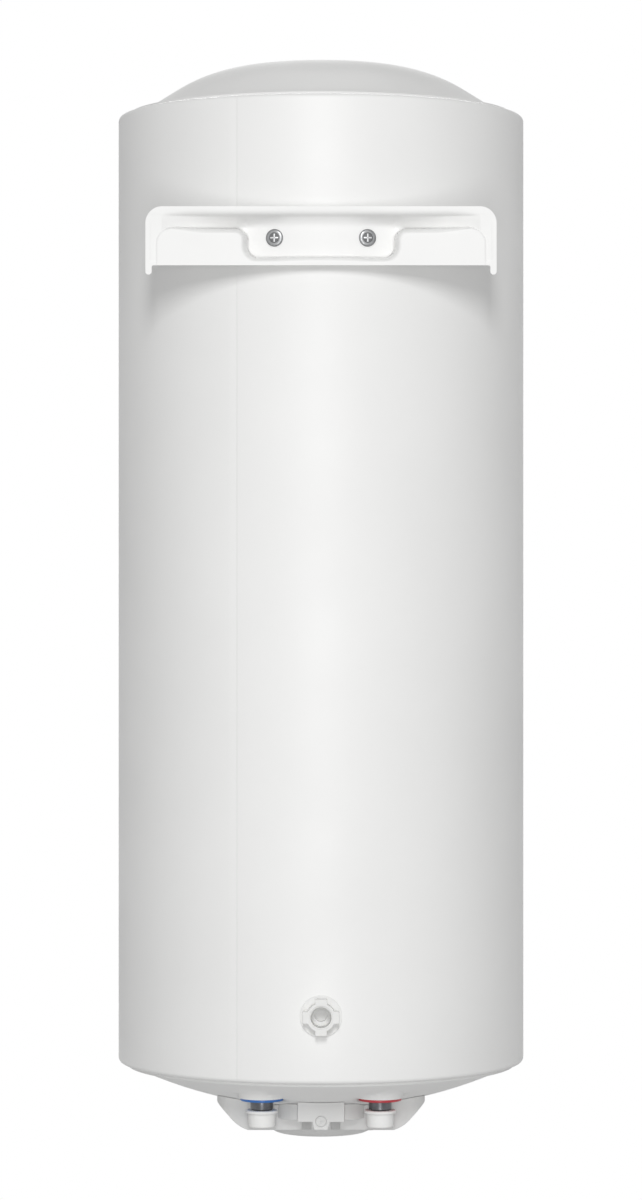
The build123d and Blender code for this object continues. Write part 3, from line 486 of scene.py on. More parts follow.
def makeDrum():
    # the profile hangs from the path: outwards is its x, and its y runs down
    line = [(r - drumRadius, -z) for r, z in drumLine()]
    profile = profileObject("drumProfile", line)
    skin = grow("drumSkin", drumTree(), {
        "Profile": profile, "Sides": drum["sides"], "Radius": drumRadius * mm,
        "Seam": math.radians(drum["seam"]), "Lap Start": -drum["lapStart"] * mm,
        "Lap Depth": drum["lapDepth"] * mm, "Lap Width": drum["lapWidth"] * mm,
        "Hole Level": drum["holeLevel"] * mm, "Hole Half": drum["holeHalf"] * mm,
        "Foot": tankFoot, "Material": finishes["white_enamel"]}, drum["crease"])
    discard(profile)
    bm = bmesh.new()
    bm.from_mesh(skin.data)
    bmesh.ops.recalc_face_normals(bm, faces=bm.faces)
    for edge in bm.edges:
        edge.smooth = edge.smooth and not edge.is_boundary     # the sheet's cut edges stay crisp
    bm.to_mesh(skin.data)
    bm.free()
    thicken(skin, drum["sheet"])
    settle(skin, "white_enamel", "heater", "outer_shell")


makeDrum()
print("drum: skin with", drum["sides"], "sides and its seam")


# Top cap: crown, shoulder, cone and flare in one line, ending in a bead on the drum's rim

dome = {"crown": 640.0, "crownEnd": 8.2662, "shoulder": 175.0, "cone": 32.4, "flare": 95.0, "flareEnd": 14.0,
        "edge": 215.5, "foot": 204.0, "footRise": 0.4, "sheet": 1.0, "sides": 320, "crease": 50,
        "bead": 2.2, "beadRing": 209.5, "beadRise": 1.4, "lowerRing": 211.0, "lowerDrop": 0.85,
        "hem": 0.6, "hemGap": 0.05, "hemStart": 2.2, "hemOut": 1.0, "hemBack": 3.0}


def domeLine(inset):
    def sweep(start, radius, first, last, steps):
        points = []
        for angle in np.radians(np.linspace(first, last, steps + 1)):
            across = abs(math.sin(angle) - math.sin(math.radians(first)))
            down = abs(math.cos(angle) - math.cos(math.radians(first)))
            points.append((start[0] + radius * across, start[1] - radius * down))
        return points

    d = dome
    crownTop = (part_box("top_cap")[1].z - tankFoot.z) / mm
    crown = sweep((0.0, crownTop), d["crown"], 0.0, d["crownEnd"], 10)
    shoulder = sweep(crown[-1], d["shoulder"], d["crownEnd"], d["cone"], 12)
    slope, last = math.radians(d["cone"]), math.radians(d["flareEnd"])
    flareReach = d["flare"] * (math.sin(slope) - math.sin(last))
    coneReach = d["edge"] - shoulder[-1][0] - flareReach
    coneEnd = (shoulder[-1][0] + coneReach, shoulder[-1][1] - coneReach * math.tan(slope))
    flare = sweep(coneEnd, d["flare"], d["cone"], d["flareEnd"], 10)
    line = crown + shoulder[1:] + [coneEnd] + flare[1:]
    if not inset:
        return line
    shifted = []
    for i, (r, z) in enumerate(line):
        ahead = np.subtract(line[min(i + 1, len(line) - 1)], line[max(i - 1, 0)])
        ahead = ahead / np.linalg.norm(ahead)
        shifted.append((max(r + inset * ahead[1], 0.0) if i else 0.0, z - inset * ahead[0]))
    return shifted


def makeDome():
    d = dome
    outer = [p for p in domeLine(0) if p[0] < d["foot"]]
    inner = [p for p in domeLine(d["sheet"]) if p[0] < d["foot"] - d["bead"]]
    bead = arc((d["beadRing"], drumTop + d["beadRise"]), d["bead"], 190, -20, 18)
    high, low = drumTop + d["hem"], drumTop + d["hemGap"]
    hem = [(d["edge"] - d["hemStart"], high), (d["edge"] + d["hemOut"], high), (d["edge"] + d["hemOut"], low),
           (d["edge"] - d["hemBack"], low), (d["foot"], drumTop + d["footRise"])]
    cap = lathe("topDome", outer + bead + hem + inner[::-1], standing(0, 0), d["sides"], d["crease"])
    settle(cap, "white_enamel", "heater", "top_cap", material=capEnamel)


def makeLowerBead():
    d = dome
    ring = arc((d["lowerRing"], drumFoot - d["lowerDrop"] * d["bead"]), d["bead"], 0, 360, 24)
    bead = lathe("lowerBead", ring[:-1] + ring[:1], standing(0, 0), d["sides"])
    settle(bead, "white_enamel", "heater", material=capEnamel)


makeDome()
makeLowerBead()
print("dome: on the upper rim, with a bead on each end of the drum")


# Wall bracket: one pressed plate, flat on the wall, drawn back into a pocket that meets the drum

bracket = {"half": 182.8, "height": 61.4, "corner": 17.5, "hang": 177.8, "sheet": 2.5, "pitch": 0.8,
           "edge": 0.5, "edgeCrease": 70, "tip": 6.5, "tipDrop": 9.7, "tipNeck": 2.0,
           "strip": 8.4, "stripHalf": 120.0, "land": 38.7, "landEdge": 171.0, "landRound": 17.0,
           "pocket": 77.5, "pocketRound": 12.0, "floorRadius": 225.3, "floorBlend": 1.2,
           "wingEnd": 166.0, "wingCurve": 1.5, "wingStart": 10.0, "cavityRound": 10.5,
           "grooveEdge": 178.4, "grooveFoot": 3.4, "grooveDepth": 0.8, "grooveRound": 3.6,
           "wall": 7.2, "wallShare": 0.45, "foot": 1.0, "brim": 2.6, "brimShare": 0.2, "brimRise": 4.0,
           "least": 1.2, "lip": 9.7, "lipRoll": 6.6, "lipFlat": 0.4, "lipEarly": 0.35,
           "cove": 12.0, "coveCurve": 2.2, "coveWing": 1.1,
           "crease": 1.6, "creaseWidth": 0.8, "creaseFull": 6.0,
           "below": 80.0, "farBelow": 200.0}     # the last two end the shapes well below the plate
bracketFoot = drumHeight - bracket["hang"]


def roundedBox(x, z, left, right, low, high, rounds):
    lowLeft, lowRight, highLeft, highRight = rounds
    dx, dz = x - (left + right) / 2, z - (low + high) / 2
    radius = np.where(dx > 0, np.where(dz > 0, highRight, lowRight), np.where(dz > 0, highLeft, lowLeft))
    qx = np.abs(dx) - (right - left) / 2 + radius
    qz = np.abs(dz) - (high - low) / 2 + radius
    outside = np.hypot(np.maximum(qx, 0), np.maximum(qz, 0))
    return np.minimum(np.maximum(qx, qz), 0) + outside - radius


def roundedUnion(a, b, radius):
    reach = np.hypot(np.maximum(radius - a, 0), np.maximum(radius - b, 0))
    return np.maximum(radius, np.minimum(a, b)) - reach


def plateEdge(x, z):
    b = bracket
    plate = roundedBox(x, z, -b["half"], b["half"], -b["farBelow"], b["height"],
                       (0, 0, b["corner"], b["corner"]))
    plate = np.maximum(plate, -z)
    tipRound = b["tip"] / 2 - 0.05     # just short of a half round
    tip = roundedBox(np.abs(x), z, b["half"] - b["tip"], b["half"], -b["tipDrop"], b["land"],
                     (tipRound, tipRound, 0, 0))
    tip = np.maximum(tip, z - b["land"])
    inner = roundedUnion(plate, tip, b["tipNeck"])
    return np.where(np.abs(x) < b["half"] - b["tip"] / 2, inner, np.minimum(plate, tip))


def brimEdge(x, z):
    b = bracket
    rounds = (b["grooveRound"], b["grooveRound"], b["cavityRound"], b["cavityRound"])
    return roundedBox(x, z, -b["grooveEdge"], b["grooveEdge"], b["grooveFoot"],
                      b["height"] - b["lip"] + b["brimRise"], rounds)


def landEdge(x, z):
    b = bracket
    land = roundedBox(np.abs(x), z, b["pocket"], b["landEdge"], -b["below"], b["land"],
                      (0, 0, b["pocketRound"], b["landRound"]))
    strip = roundedBox(x, z, -b["stripHalf"], b["stripHalf"], -b["below"], b["strip"], (0, 0, 0, 0))
    return roundedUnion(land, strip, b["pocketRound"])


def softStep(t):
    t = np.clip(t, 0, 1)
    return t * t * (3 - 2 * t)


def floorDepth(x):
    b = bracket
    x = np.abs(x)
    pocket = wallPlane - np.sqrt(np.maximum(b["floorRadius"] ** 2 - x ** 2, 1.0))
    crease = wallPlane - math.sqrt(b["floorRadius"] ** 2 - b["pocket"] ** 2)
    along = np.clip((x - b["pocket"]) / (b["wingEnd"] - b["pocket"]), 0, 1)
    wing = crease - (crease - b["grooveDepth"]) * along ** b["wingCurve"]
    wing = np.where(x < b["pocket"], crease, wing)
    # the crease is eased where the pocket meets the wing
    gap = np.clip(0.5 + (wing - pocket) / b["floorBlend"], 0, 1)
    return wing * (1 - gap) + pocket * gap - b["floorBlend"] / 4 * gap * (1 - gap)


def bracketDepth(x, z):
    b = bracket
    floor = floorDepth(x)
    mouth = b["height"] - b["lip"]
    # the lip curls back, steepest at the mouth, and the floor sweeps on from there
    curl = np.clip((b["height"] - b["lipFlat"] - z) / (b["lip"] - b["lipFlat"]), 0, 1)
    curl = b["lipEarly"] * curl ** 2 + (1 - b["lipEarly"]) * curl ** 6
    lip = np.minimum(b["lipRoll"], 0.5 * floor) * curl
    onWing = np.clip((np.abs(x) - b["pocket"]) / b["wingStart"], 0, 1)
    power = b["coveCurve"] - b["coveWing"] * onWing
    cove = 1 - (1 - np.clip((mouth - z) / b["cove"], 0, 1)) ** power
    # walls round off the lands and the lower strip and are steepest at their foot
    edge = landEdge(x, z)
    run = np.clip(b["wallShare"] * floor, b["least"], b["wall"])
    rise = np.clip((edge - b["foot"]) / run + 1, 0, 1)
    side = 1 - np.sqrt(1 - rise ** 2)
    brim = softStep(-brimEdge(x, z) / np.clip(b["brimShare"] * floor, b["least"], b["brim"]))
    line = np.exp(-((edge - b["foot"]) / b["creaseWidth"]) ** 2)     # the tool's line along each wall
    line *= b["crease"] * np.clip(floor / b["creaseFull"], 0, 1)
    return (lip + (floor - lip) * cove * brim) * side + line * cove


def wallFoot(x, z):
    return landEdge(x, z) - bracket["foot"]


# Grid points near a line slide onto it, so that it runs clean
def slideOnto(line, x, z):
    nudge, rounds, leastSlope = 0.02, 6, 0.3
    for _ in range(rounds):
        away = line(x, z)
        slopeX = (line(x + nudge, z) - line(x - nudge, z)) / (2 * nudge)
        slopeZ = (line(x, z + nudge) - line(x, z - nudge)) / (2 * nudge)
        length = np.maximum(np.hypot(slopeX, slopeZ), leastSlope)
        x, z = x - away * slopeX / length, z - away * slopeZ / length
    return x, z


def makeBracket():
    b = bracket
    columns = round(2 * b["half"] / b["pitch"])
    rows = round(b["tipDrop"] / b["pitch"])
    stepX, stepZ = 2 * b["half"] / columns, b["tipDrop"] / rows
    x = -b["half"] + stepX * np.arange(columns + 1)
    z = -b["tipDrop"] + stepZ * np.arange(rows + math.ceil(b["height"] / stepZ) + 1)
    gridX, gridZ = np.meshgrid(x, z, indexing="ij")
    kept = plateEdge(gridX[:-1, :-1] + stepX / 2, gridZ[:-1, :-1] + stepZ / 2) < 0
    cells = np.zeros(gridX.shape, int)
    for i, j in ((0, 0), (1, 0), (0, 1), (1, 1)):
        cells[i:cells.shape[0] - 1 + i, j:cells.shape[1] - 1 + j] += kept
    rim = (cells > 0) & (cells < 4)
    gridX[rim], gridZ[rim] = slideOnto(plateEdge, gridX[rim], gridZ[rim])
    gap = wallFoot(gridX, gridZ)
    reach = np.max(np.abs(np.gradient(gap)), axis=0) / 2     # half the way from one grid point to the next
    foot = (np.abs(gap) < reach) & (cells == 4)
    gridX[foot], gridZ[foot] = slideOnto(wallFoot, gridX[foot], gridZ[foot])
    depth = bracketDepth(gridX, gridZ)
    bm = bmesh.new()
    verts = {}
    for i, j in zip(*np.nonzero(cells)):
        verts[i, j] = bm.verts.new(place(gridX[i, j], wallPlane - depth[i, j], bracketFoot + gridZ[i, j]))
    for i, j in zip(*np.nonzero(kept)):
        bm.faces.new((verts[i, j], verts[i, j + 1], verts[i + 1, j + 1], verts[i + 1, j]))
    plate = meshObject("wallBracket", bm, 100)     # no fold is sharp, only the cut edge
    if plate.data.polygons[0].normal.y < 0:
        plate.data.flip_normals()
    thicken(plate, b["sheet"])
    easeEdges(plate, b["edge"], b["edgeCrease"], steps=2, clamp=True)
    settle(plate, "white_enamel", "heater", "wall_bracket")


makeBracket()
print("bracket: pressed plate")


# Screws: pan heads with a cross; the bracket's pair sit in the pocket and follow the drum's curve

bracketScrew = {"head": 9.15, "rim": 0.9, "crown": 6.1, "height": 2.6, "dish": 5.3, "dishDepth": 0.8,
                "cross": (8.6, 1.5), "level": 30.0, "spacing": 97.0}
coverScrew = {"head": 4.0, "rim": 0.3, "crown": 2.6, "height": 1.8, "dish": 2.3, "dishDepth": 0.35,
              "cross": (3.6, 0.8), "x": 70.0, "face": -67.0}
rearScrew = {"head": 5.2, "rim": 0.5, "crown": 4.9, "height": 0.9, "dish": 2.0, "dishDepth": 0.3,
             "cross": (3.0, 0.7), "face": 138.4, "level": -53.0}
# what every screw has: its small breaks, and what the recess's floor and cross stand proud
everyScrew = {"under": 0.15, "mouth": 0.2, "slope": 0.3, "floorGap": 0.4, "floorSkin": 0.12, "sunk": 0.1,
              "crossRise": 0.3, "crossEdge": 0.12, "sides": 64, "crease": 40}


def screwHead(name, s, stand):
    e = everyScrew
    crown = [(s["head"] - (s["head"] - s["crown"]) * (1 - math.cos(a)),
              s["rim"] + (s["height"] - s["rim"]) * math.sin(a)) for a in np.radians(np.linspace(0, 90, 9))]
    floor = s["height"] - s["dishDepth"]
    line = [(0.0, 0.0), (s["head"] - e["under"], 0.0), (s["head"], e["under"])] + crown
    line += [(s["dish"] + e["mouth"], s["height"]), (s["dish"], s["height"] - e["mouth"]),
             (s["dish"] - e["slope"], floor), (0.0, floor)]
    return lathe(name, line, stand, e["sides"], e["crease"])


# A thin disc laid on the recess floor; its dark finish is painted shade
def screwDish(name, s, stand):
    e = everyScrew
    floor = s["height"] - s["dishDepth"]
    radius, skin = s["dish"] - e["floorGap"], floor + e["floorSkin"]
    return lathe(name, [(0.0, skin), (radius, skin), (radius, floor - e["sunk"])], stand, e["sides"])


# Crossed bars just proud of the recess floor; their pale finish is a painted highlight
def screwCross(name, s, stand):
    e = everyScrew
    floor = s["height"] - s["dishDepth"]
    low, high = floor - e["sunk"], floor + e["crossRise"]
    length, width = s["cross"][0] / 2, s["cross"][1] / 2
    bars = [bar(name + axis, (-a, -b, low), (a, b, high), stand, e["crossEdge"])
            for axis, a, b in (("X", length, width), ("Y", width, length))]
    return joined(name, *bars)


# Heads, then recess discs with painted shade, then crosses with a painted highlight
def screwRing(name, s, stand, ring, replaced, slot="zinc_steel", recess=shadedRecessZinc, cross=highlightCrossZinc):
    looks = (finishes[slot], recess, cross)
    for suffix, maker, look in zip(("Heads", "Dishes", "Crosses"), (screwHead, screwDish, screwCross), looks):
        master = maker(name + "Master", s, stand)
        piece = grow(name + suffix, copiesTree, {"Master": master, "Material": look, **ring})
        discard(master)
        settle(piece, slot, "heater", *(replaced if suffix == "Heads" else ()), material=look)


def makeScrews():
    s = bracketScrew
    radius = bracket["floorRadius"]
    angle = math.asin(s["spacing"] / 2 / radius)
    stand = Matrix.Translation((0, radius * mm, 0)) @ towardsWall @ Matrix.Scale(mm, 4)
    centre = place(0, 0, bracketFoot + s["level"])
    pair = {"Count": 2, "Start": -angle, "Step": 2 * angle, "Centre": centre}
    screwRing("bracketScrew", s, stand, pair, ["bracket_screws"])
    c = coverScrew
    stand = Matrix.Translation((c["x"] * mm, 0, 0)) @ upsideDown @ Matrix.Scale(mm, 4)
    pair = {"Count": 2, "Start": 0.0, "Step": math.pi, "Centre": place(0, 0, c["face"])}
    screwRing("coverScrew", c, stand, pair, ["cover_screws"])
    r, lacquer = rearScrew, finishes["cover_plastic"]     # lacquered in the cover's white
    spot = {"Count": 1, "Start": 0.0, "Step": 0.0, "Centre": place(0, r["face"], r["level"])}
    screwRing("rearScrew", r, towardsWall @ Matrix.Scale(mm, 4), spot, [], "cover_plastic", lacquer, lacquer)


makeScrews()
print("screws: two on the bracket, three on the cover")


# Bottom cap and lower wall spacer

bottomEdges = {"pan": 0.0, "panCrease": 24, "base": 0.35, "seal": 0.0}
spacer = {"tube": 15.0, "ear": 6.1, "reach": 19.0, "corner": 1.4, "earBack": 12.2, "depth": 32.0,
          "level": 67.9, "groove": 17.0, "groovePath": 13.9, "grooveSection": 1.5, "edge": 0.3, "crease": 28,
          "bore": [(12.2, 0.0), (12.2, 1.2), (10.9, 1.2), (10.9, 24.0), (6.5, 24.0), (6.5, 28.5)]}


# One ear's end, corner and side, then the hub as far as the next ear, all the way round
def spacerOutline():
    s = spacer
    flat = s["ear"] - s["corner"]
    start = math.degrees(math.asin(s["ear"] / s["tube"]))
    half = [(s["reach"], z) for z in np.linspace(0, flat, 6)[:-1]]
    half += arc((s["reach"] - s["corner"], flat), s["corner"], 0, 90, 6)
    half += arc((0, 0), s["tube"], start, 45, 8)
    quarter = half + [(z, x) for x, z in half[-2:0:-1]]
    turns = ((1, 0), (0, 1), (-1, 0), (0, -1))
    return [(c * x - k * z, k * x + c * z) for c, k in turns for x, z in quarter]


def makeSpacer():
    s = spacer
    outline = spacerOutline()
    angles = [math.atan2(z, x) for x, z in outline]
    lip = math.degrees(math.acos((s["tube"] - s["groovePath"]) / s["grooveSection"]))
    section = arc((s["groovePath"], 0), s["grooveSection"], -lip, lip - 360, 12)
    groove = [(r, s["groove"] - y) for r, y in section]
    loops = [[(r * math.cos(a), r * math.sin(a), y) for a in angles]
             for r, y in [(s["tube"], s["depth"])] + groove + [(s["tube"], s["earBack"])]]
    loops += [[(x, z, y) for x, z in outline] for y in (s["earBack"], 0.0)]
    loops += [[(r * math.cos(a), r * math.sin(a), y) for a in angles] for r, y in s["bore"]]
    bm = bmesh.new()
    rings = [[bm.verts.new(place(x, wallPlane - y, s["level"] + z)) for x, z, y in loop] for loop in loops]
    for near, far in zip(rings, rings[1:]):
        for i in range(len(outline)):
            bm.faces.new((near[i - 1], near[i], far[i], far[i - 1]))
    bm.faces.new(rings[0])
    bm.faces.new(rings[-1])
    bmesh.ops.remove_doubles(bm, verts=bm.verts, dist=weld)
    obj = meshObject("wallSpacer", bm, s["crease"])
    easeEdges(obj, s["edge"], s["crease"])
    settle(obj, "white_plastic", "spacer", "wall_spacer")


def makePanAndSpacer():
    pan = easedCopy("bottomPan", "bottom_cap", bottomEdges["pan"], bottomEdges["panCrease"])
    settle(pan, "white_enamel", "heater", "bottom_cap", material=capEnamel)
    makeSpacer()
    base = easedCopy("spacerBase", "spacer_base", bottomEdges["base"])
    settle(base, "white_plastic", "heater", "spacer_base")
    seal = easedCopy("spacerSeal", "spacer_ring", bottomEdges["seal"])
    settle(seal, "black_rubber", "spacer_carrier", "spacer_ring")


makePanAndSpacer()
print("pan and spacer: done")


# Water connections: blacked pipe ends with G 1/2 threads, colour rings and white transport caps

pipe = {"x": 63.0, "y": 140.0, "collar": 12.15, "collarEnd": -40.0, "collarEdge": 1.0, "bore": 7.5,
        "core": 9.35, "crest": 10.4, "threadEnd": -56.0, "chamfer": 0.9, "top": 25.0, "seat": 15.0,
        "seatRadius": 9.05}
thread = {"pitch": 1.814, "steps": 72, "gap": 0.8, "sunk": 0.2, "root": 0.92, "crest": 0.22}
colourRing = {"inner": 12.45, "outer": 23.0, "face": -27.2, "rim": 2.8, "edge": 0.5, "hub": 14.5,
              "hubEdge": 0.3, "bulge": 3.6, "swell": 0.35}
transportCap = {"lip": 16.85, "lipHeight": 3.5, "lipRound": 1.15, "body": 14.65, "neck": 0.6, "foot": 14.45,
                "top": -40.3, "low": -58.5, "edge": 2.0, "bore": 10.5275, "mouth": 0.3, "floor": -56.3,
                "floorEdge": 0.8}


def threadTree():
    tree, given = newTree("helicalRidge", {
        "Turns": "Float", "Radius": "Float", "Length": "Float", "Ridge": "Float", "Root": "Float",
        "Crest": "Float", "Start": "Vector", "Material": "Material"})
    helix = addNode(tree, "GeometryNodeCurveSpiral",
                    {"Resolution": thread["steps"], "Rotations": given["Turns"], "Height": given["Length"],
                     "Start Radius": given["Radius"], "End Radius": given["Radius"]})
    path = addNode(tree, "GeometryNodeSetCurveNormal", {"Curve": helix}, mode="Z_UP")
    ridge = addNode(tree, "GeometryNodeCurvePrimitiveQuadrilateral",
                    {"Bottom Width": given["Root"], "Top Width": given["Crest"], "Height": given["Ridge"],
                     "Offset": 0.0}, mode="TRAPEZOID")
    outward = addNode(tree, "GeometryNodeTransform", {"Geometry": ridge, "Rotation": (0, 0, -math.pi / 2)})
    wound = addNode(tree, "GeometryNodeCurveToMesh",
                    {"Curve": path, "Profile Curve": outward, "Fill Caps": True})
    moved = addNode(tree, "GeometryNodeTransform", {"Geometry": wound, "Translation": given["Start"]})
    closeTree(tree, moved, given["Material"])
    return tree


def makeNipple(name, side, ridgeTree):
    p, t = pipe, thread
    end, shoulder = p["threadEnd"], p["collarEnd"]
    line = [(p["bore"], end), (p["core"] - p["chamfer"], end), (p["core"], end + p["chamfer"]),
            (p["core"], shoulder), (p["collar"] - p["collarEdge"], shoulder),
            (p["collar"], shoulder + p["collarEdge"]), (p["collar"], p["top"])]
    if side < 0:
        line += [(p["seatRadius"], p["top"]), (p["seatRadius"], p["seat"]), (p["bore"], p["seat"])]
    else:
        line += [(p["bore"], p["top"])]
    body = lathe(name + "Nipple", line + line[:1], standing(side * p["x"], p["y"]), 96)
    settle(body, "pipe_steel", "heater", name + "_nipple")
    length = shoulder - end - 2 * t["gap"]
    depth = p["crest"] - p["core"] + t["sunk"]
    ridge = grow(name + "Thread", ridgeTree, {
        "Turns": length / t["pitch"], "Radius": (p["crest"] - depth / 2) * mm, "Length": length * mm,
        "Ridge": depth * mm, "Root": t["root"] * t["pitch"] * mm, "Crest": t["crest"] * t["pitch"] * mm,
        "Start": place(side * p["x"], p["y"], end + t["gap"]), "Material": finishes["pipe_steel"]})
    settle(ridge, "pipe_steel", "heater")


def makeColourRing(name, side, slot):
    c = colourRing
    face = c["face"]
    edge = c["outer"] - c["edge"]
    line = [(c["inner"], face)] + arc((edge, face - c["edge"]), c["edge"], 90, 0, 5)
    line += arc((edge, face - c["rim"] + c["edge"]), c["edge"], 0, -75, 5)
    low = face - c["bulge"]
    start, end = line[-1], (c["hub"], low)
    for t in np.linspace(0.1, 1.0, 10):     # the underside is slightly full
        swell = c["swell"] * math.sin(math.pi * t)
        line.append((start[0] + (end[0] - start[0]) * t, start[1] + (end[1] - start[1]) * t - swell))
    line += [(c["inner"] + c["hubEdge"], low), (c["inner"], low + c["hubEdge"]), (c["inner"], face)]
    ring = lathe(name + "Ring", line, standing(side * pipe["x"], pipe["y"]))
    settle(ring, slot, "heater", name + "_ring")


def makeTransportCap(name, side):
    c = transportCap
    lipLow = c["top"] - c["lipHeight"]
    line = [(c["bore"], c["top"] - c["mouth"]), (c["bore"] + c["mouth"], c["top"])]
    line += arc((c["lip"] - c["lipRound"], c["top"] - c["lipRound"]), c["lipRound"], 90, 0, 6)
    line += arc((c["lip"] - c["lipRound"], lipLow + c["lipRound"]), c["lipRound"], 0, -90, 6)
    line += arc((c["body"] + c["neck"], lipLow - c["neck"]), c["neck"], 90, 180, 4)
    line += arc((c["foot"] - c["edge"], c["low"] + c["edge"]), c["edge"], 0, -90, 8)
    line += [(0.0, c["low"]), (0.0, c["floor"]), (c["bore"] - c["floorEdge"], c["floor"]),
             (c["bore"], c["floor"] + c["floorEdge"]), line[0]]
    cap = lathe(name + "Cap", line, standing(side * pipe["x"], pipe["y"]))
    settle(cap, "white_plastic", name + "_plug", name + "_cap")


def makeConnections():
    ridgeTree = threadTree()
    for name, side, slot in (("cold", 1, "blue_plastic"), ("hot", -1, "red_plastic")):
        makeNipple(name, side, ridgeTree)
        makeColourRing(name, side, slot)
        makeTransportCap(name, side)


makeConnections()
print("connections: pipes, threads, rings and caps")


# Bottom cover with its knob, dial, lamp and cable entry

cover = {"edge": 0.8, "knobEdge": 0.45, "knobCentre": (0.0, -18.0), "knobFace": -82.5, "belly": -82.0}
dial = {"count": 11, "sweep": 280.0, "inner": 26.4, "length": 3.0, "width": 0.9, "proud": 0.25, "sunk": 0.6,
        "edge": 0.15}
pointer = {"width": 1.8, "from": 23.6, "to": 12.1, "sunk": 0.25, "depth": 1.0, "edge": 0.1}
lamp = {"y": -70.2, "lens": 3.45, "face": -68.5, "crown": 0.04, "round": 1.4, "top": -60.5, "sides": 64,
        "ring": 4.5, "ringEdge": 0.1, "bore": 3.5, "boreEdge": 0.2, "floor": -67.0, "flange": 6.5,
        "inside": -64.5, "flangeTop": -62.5, "ringTop": -56.5}
grommet = {"x": -52.0, "y": 80.0, "bore": 4.5, "body": 7.0, "flange": 10.0, "lip": 2.0, "floor": -67.0,
           "inside": -64.5, "round": 0.8, "sides": 80}
notch = {"inner": 10.7, "outer": 20.3, "low": -66.6, "high": -57.8, "floor": 101.2, "face": 101.6}


def makeDial():
    d = dial
    tick = bar("tickMaster", (-d["width"] / 2, -d["inner"] - d["length"], -d["proud"]),
               (d["width"] / 2, -d["inner"], d["sunk"]), Matrix.Scale(mm, 4), d["edge"])
    step = -math.radians(d["sweep"] / (d["count"] - 1))     # the knob turns the same way
    ticks = grow("dialTicks", copiesTree, {
        "Master": tick, "Count": d["count"], "Start": 0.0, "Step": step,
        "Centre": place(*cover["knobCentre"], cover["belly"]), "Material": finishes["black_plastic"]})
    discard(tick)
    settle(ticks, "black_plastic", "heater")


def makeKnob():
    knob = easedCopy("controlKnob", "control_knob", cover["knobEdge"])
    settle(knob, "knob_plastic", "knob", "control_knob")
    p = pointer
    stand = standing(*cover["knobCentre"], cover["knobFace"] + p["sunk"])
    mark = bar("knobPointer", (-p["width"] / 2, -p["from"], 0), (p["width"] / 2, -p["to"], p["depth"]),
               stand, p["edge"])
    settle(mark, "red_plastic", "knob")


def makeLamp():
    p = lamp
    edge = p["lens"] - p["round"]
    line = [(0.0, p["face"]), (edge * 0.5, p["face"] + p["crown"])]     # the lens bulges slightly
    line += arc((edge, p["face"] + p["round"]), p["round"], -84, 0, 7)
    line += [(p["lens"], p["top"]), (0.0, p["top"])]
    lens = lathe("lampLens", line, standing(0, p["y"]), p["sides"])
    settle(lens, "red_lens", "heater", "lamp_lens")
    line = [(p["bore"], p["floor"] + p["boreEdge"]), (p["bore"] + p["boreEdge"], p["floor"]),
            (p["ring"] - p["ringEdge"], p["floor"]), (p["ring"], p["floor"] + p["ringEdge"]),
            (p["ring"], p["inside"]), (p["flange"], p["inside"]), (p["flange"], p["flangeTop"]),
            (p["ring"], p["flangeTop"]), (p["ring"], p["ringTop"]), (p["bore"], p["ringTop"])]
    holder = lathe("lampHolder", line + line[:1], standing(0, p["y"]), p["sides"])
    settle(holder, "black_plastic", "heater", "lamp_holder")


def makeGrommet():
    g = grommet
    low, high, r = g["floor"] - g["lip"], g["inside"] + g["lip"], g["round"]
    line = arc((g["bore"] + r, low + r), r, 180, 270, 5) + arc((g["flange"] - r, low + r), r, -90, 0, 5)
    line += [(g["flange"], g["floor"]), (g["body"], g["floor"]), (g["body"], g["inside"]),
             (g["flange"], g["inside"])]
    line += arc((g["flange"] - r, high - r), r, 0, 90, 5) + arc((g["bore"] + r, high - r), r, 90, 180, 5)
    sleeve = lathe("cableGrommet", line + line[:1], standing(g["x"], g["y"]), g["sides"])
    settle(sleeve, "black_rubber", "heater", "cable_grommet")


# Thin grey sheets laid on the notch floors, which carry painted shade
def makeNotches():
    n = notch
    floors = [bar("notch" + side, (low, n["floor"], n["low"]), (high, n["face"], n["high"]), standing(0, 0))
              for side, low, high in (("Cold", n["inner"], n["outer"]), ("Hot", -n["outer"], -n["inner"]))]
    settle(joined("notchFloors", *floors), "cover_plastic", "heater", material=notchShadeAbs)


def makeCover():
    shell = easedCopy("bottomCover", "bottom_cover", cover["edge"])
    settle(shell, "cover_plastic", "heater", "bottom_cover")
    makeNotches()
    makeKnob()
    makeDial()
    makeLamp()
    makeGrommet()


makeCover()
print("cover: knob, dial, lamp and cable entry")


# Stage: a pale floor well below the heater, soft frontal light, white all round

# metres here; a lamp's aim is its azimuth from the photo's side, its elevation and its distance
stage = {"floorDrop": 0.35, "floorRadius": 1.7, "floorFade": (0.4, 0.95), "floorTone": "#DCDCDC",
         "ambient": 0.335}
lamps = {"key": {"watts": 91.0, "size": (0.6, 1.5), "aim": (0.0, 24.0, 5.0)},
         "strip": {"watts": 34.0, "size": (0.7, 1.6), "aim": (0.0, -6.0, 3.9)},
         "rear": {"watts": 80.0, "size": 1.2, "aim": (180.0, 30.0, 4.6)}}
camera = {"place": (0.0, 4.0575, -0.3526), "lens": 116.97, "sensor": 36.0, "reach": 60.0}


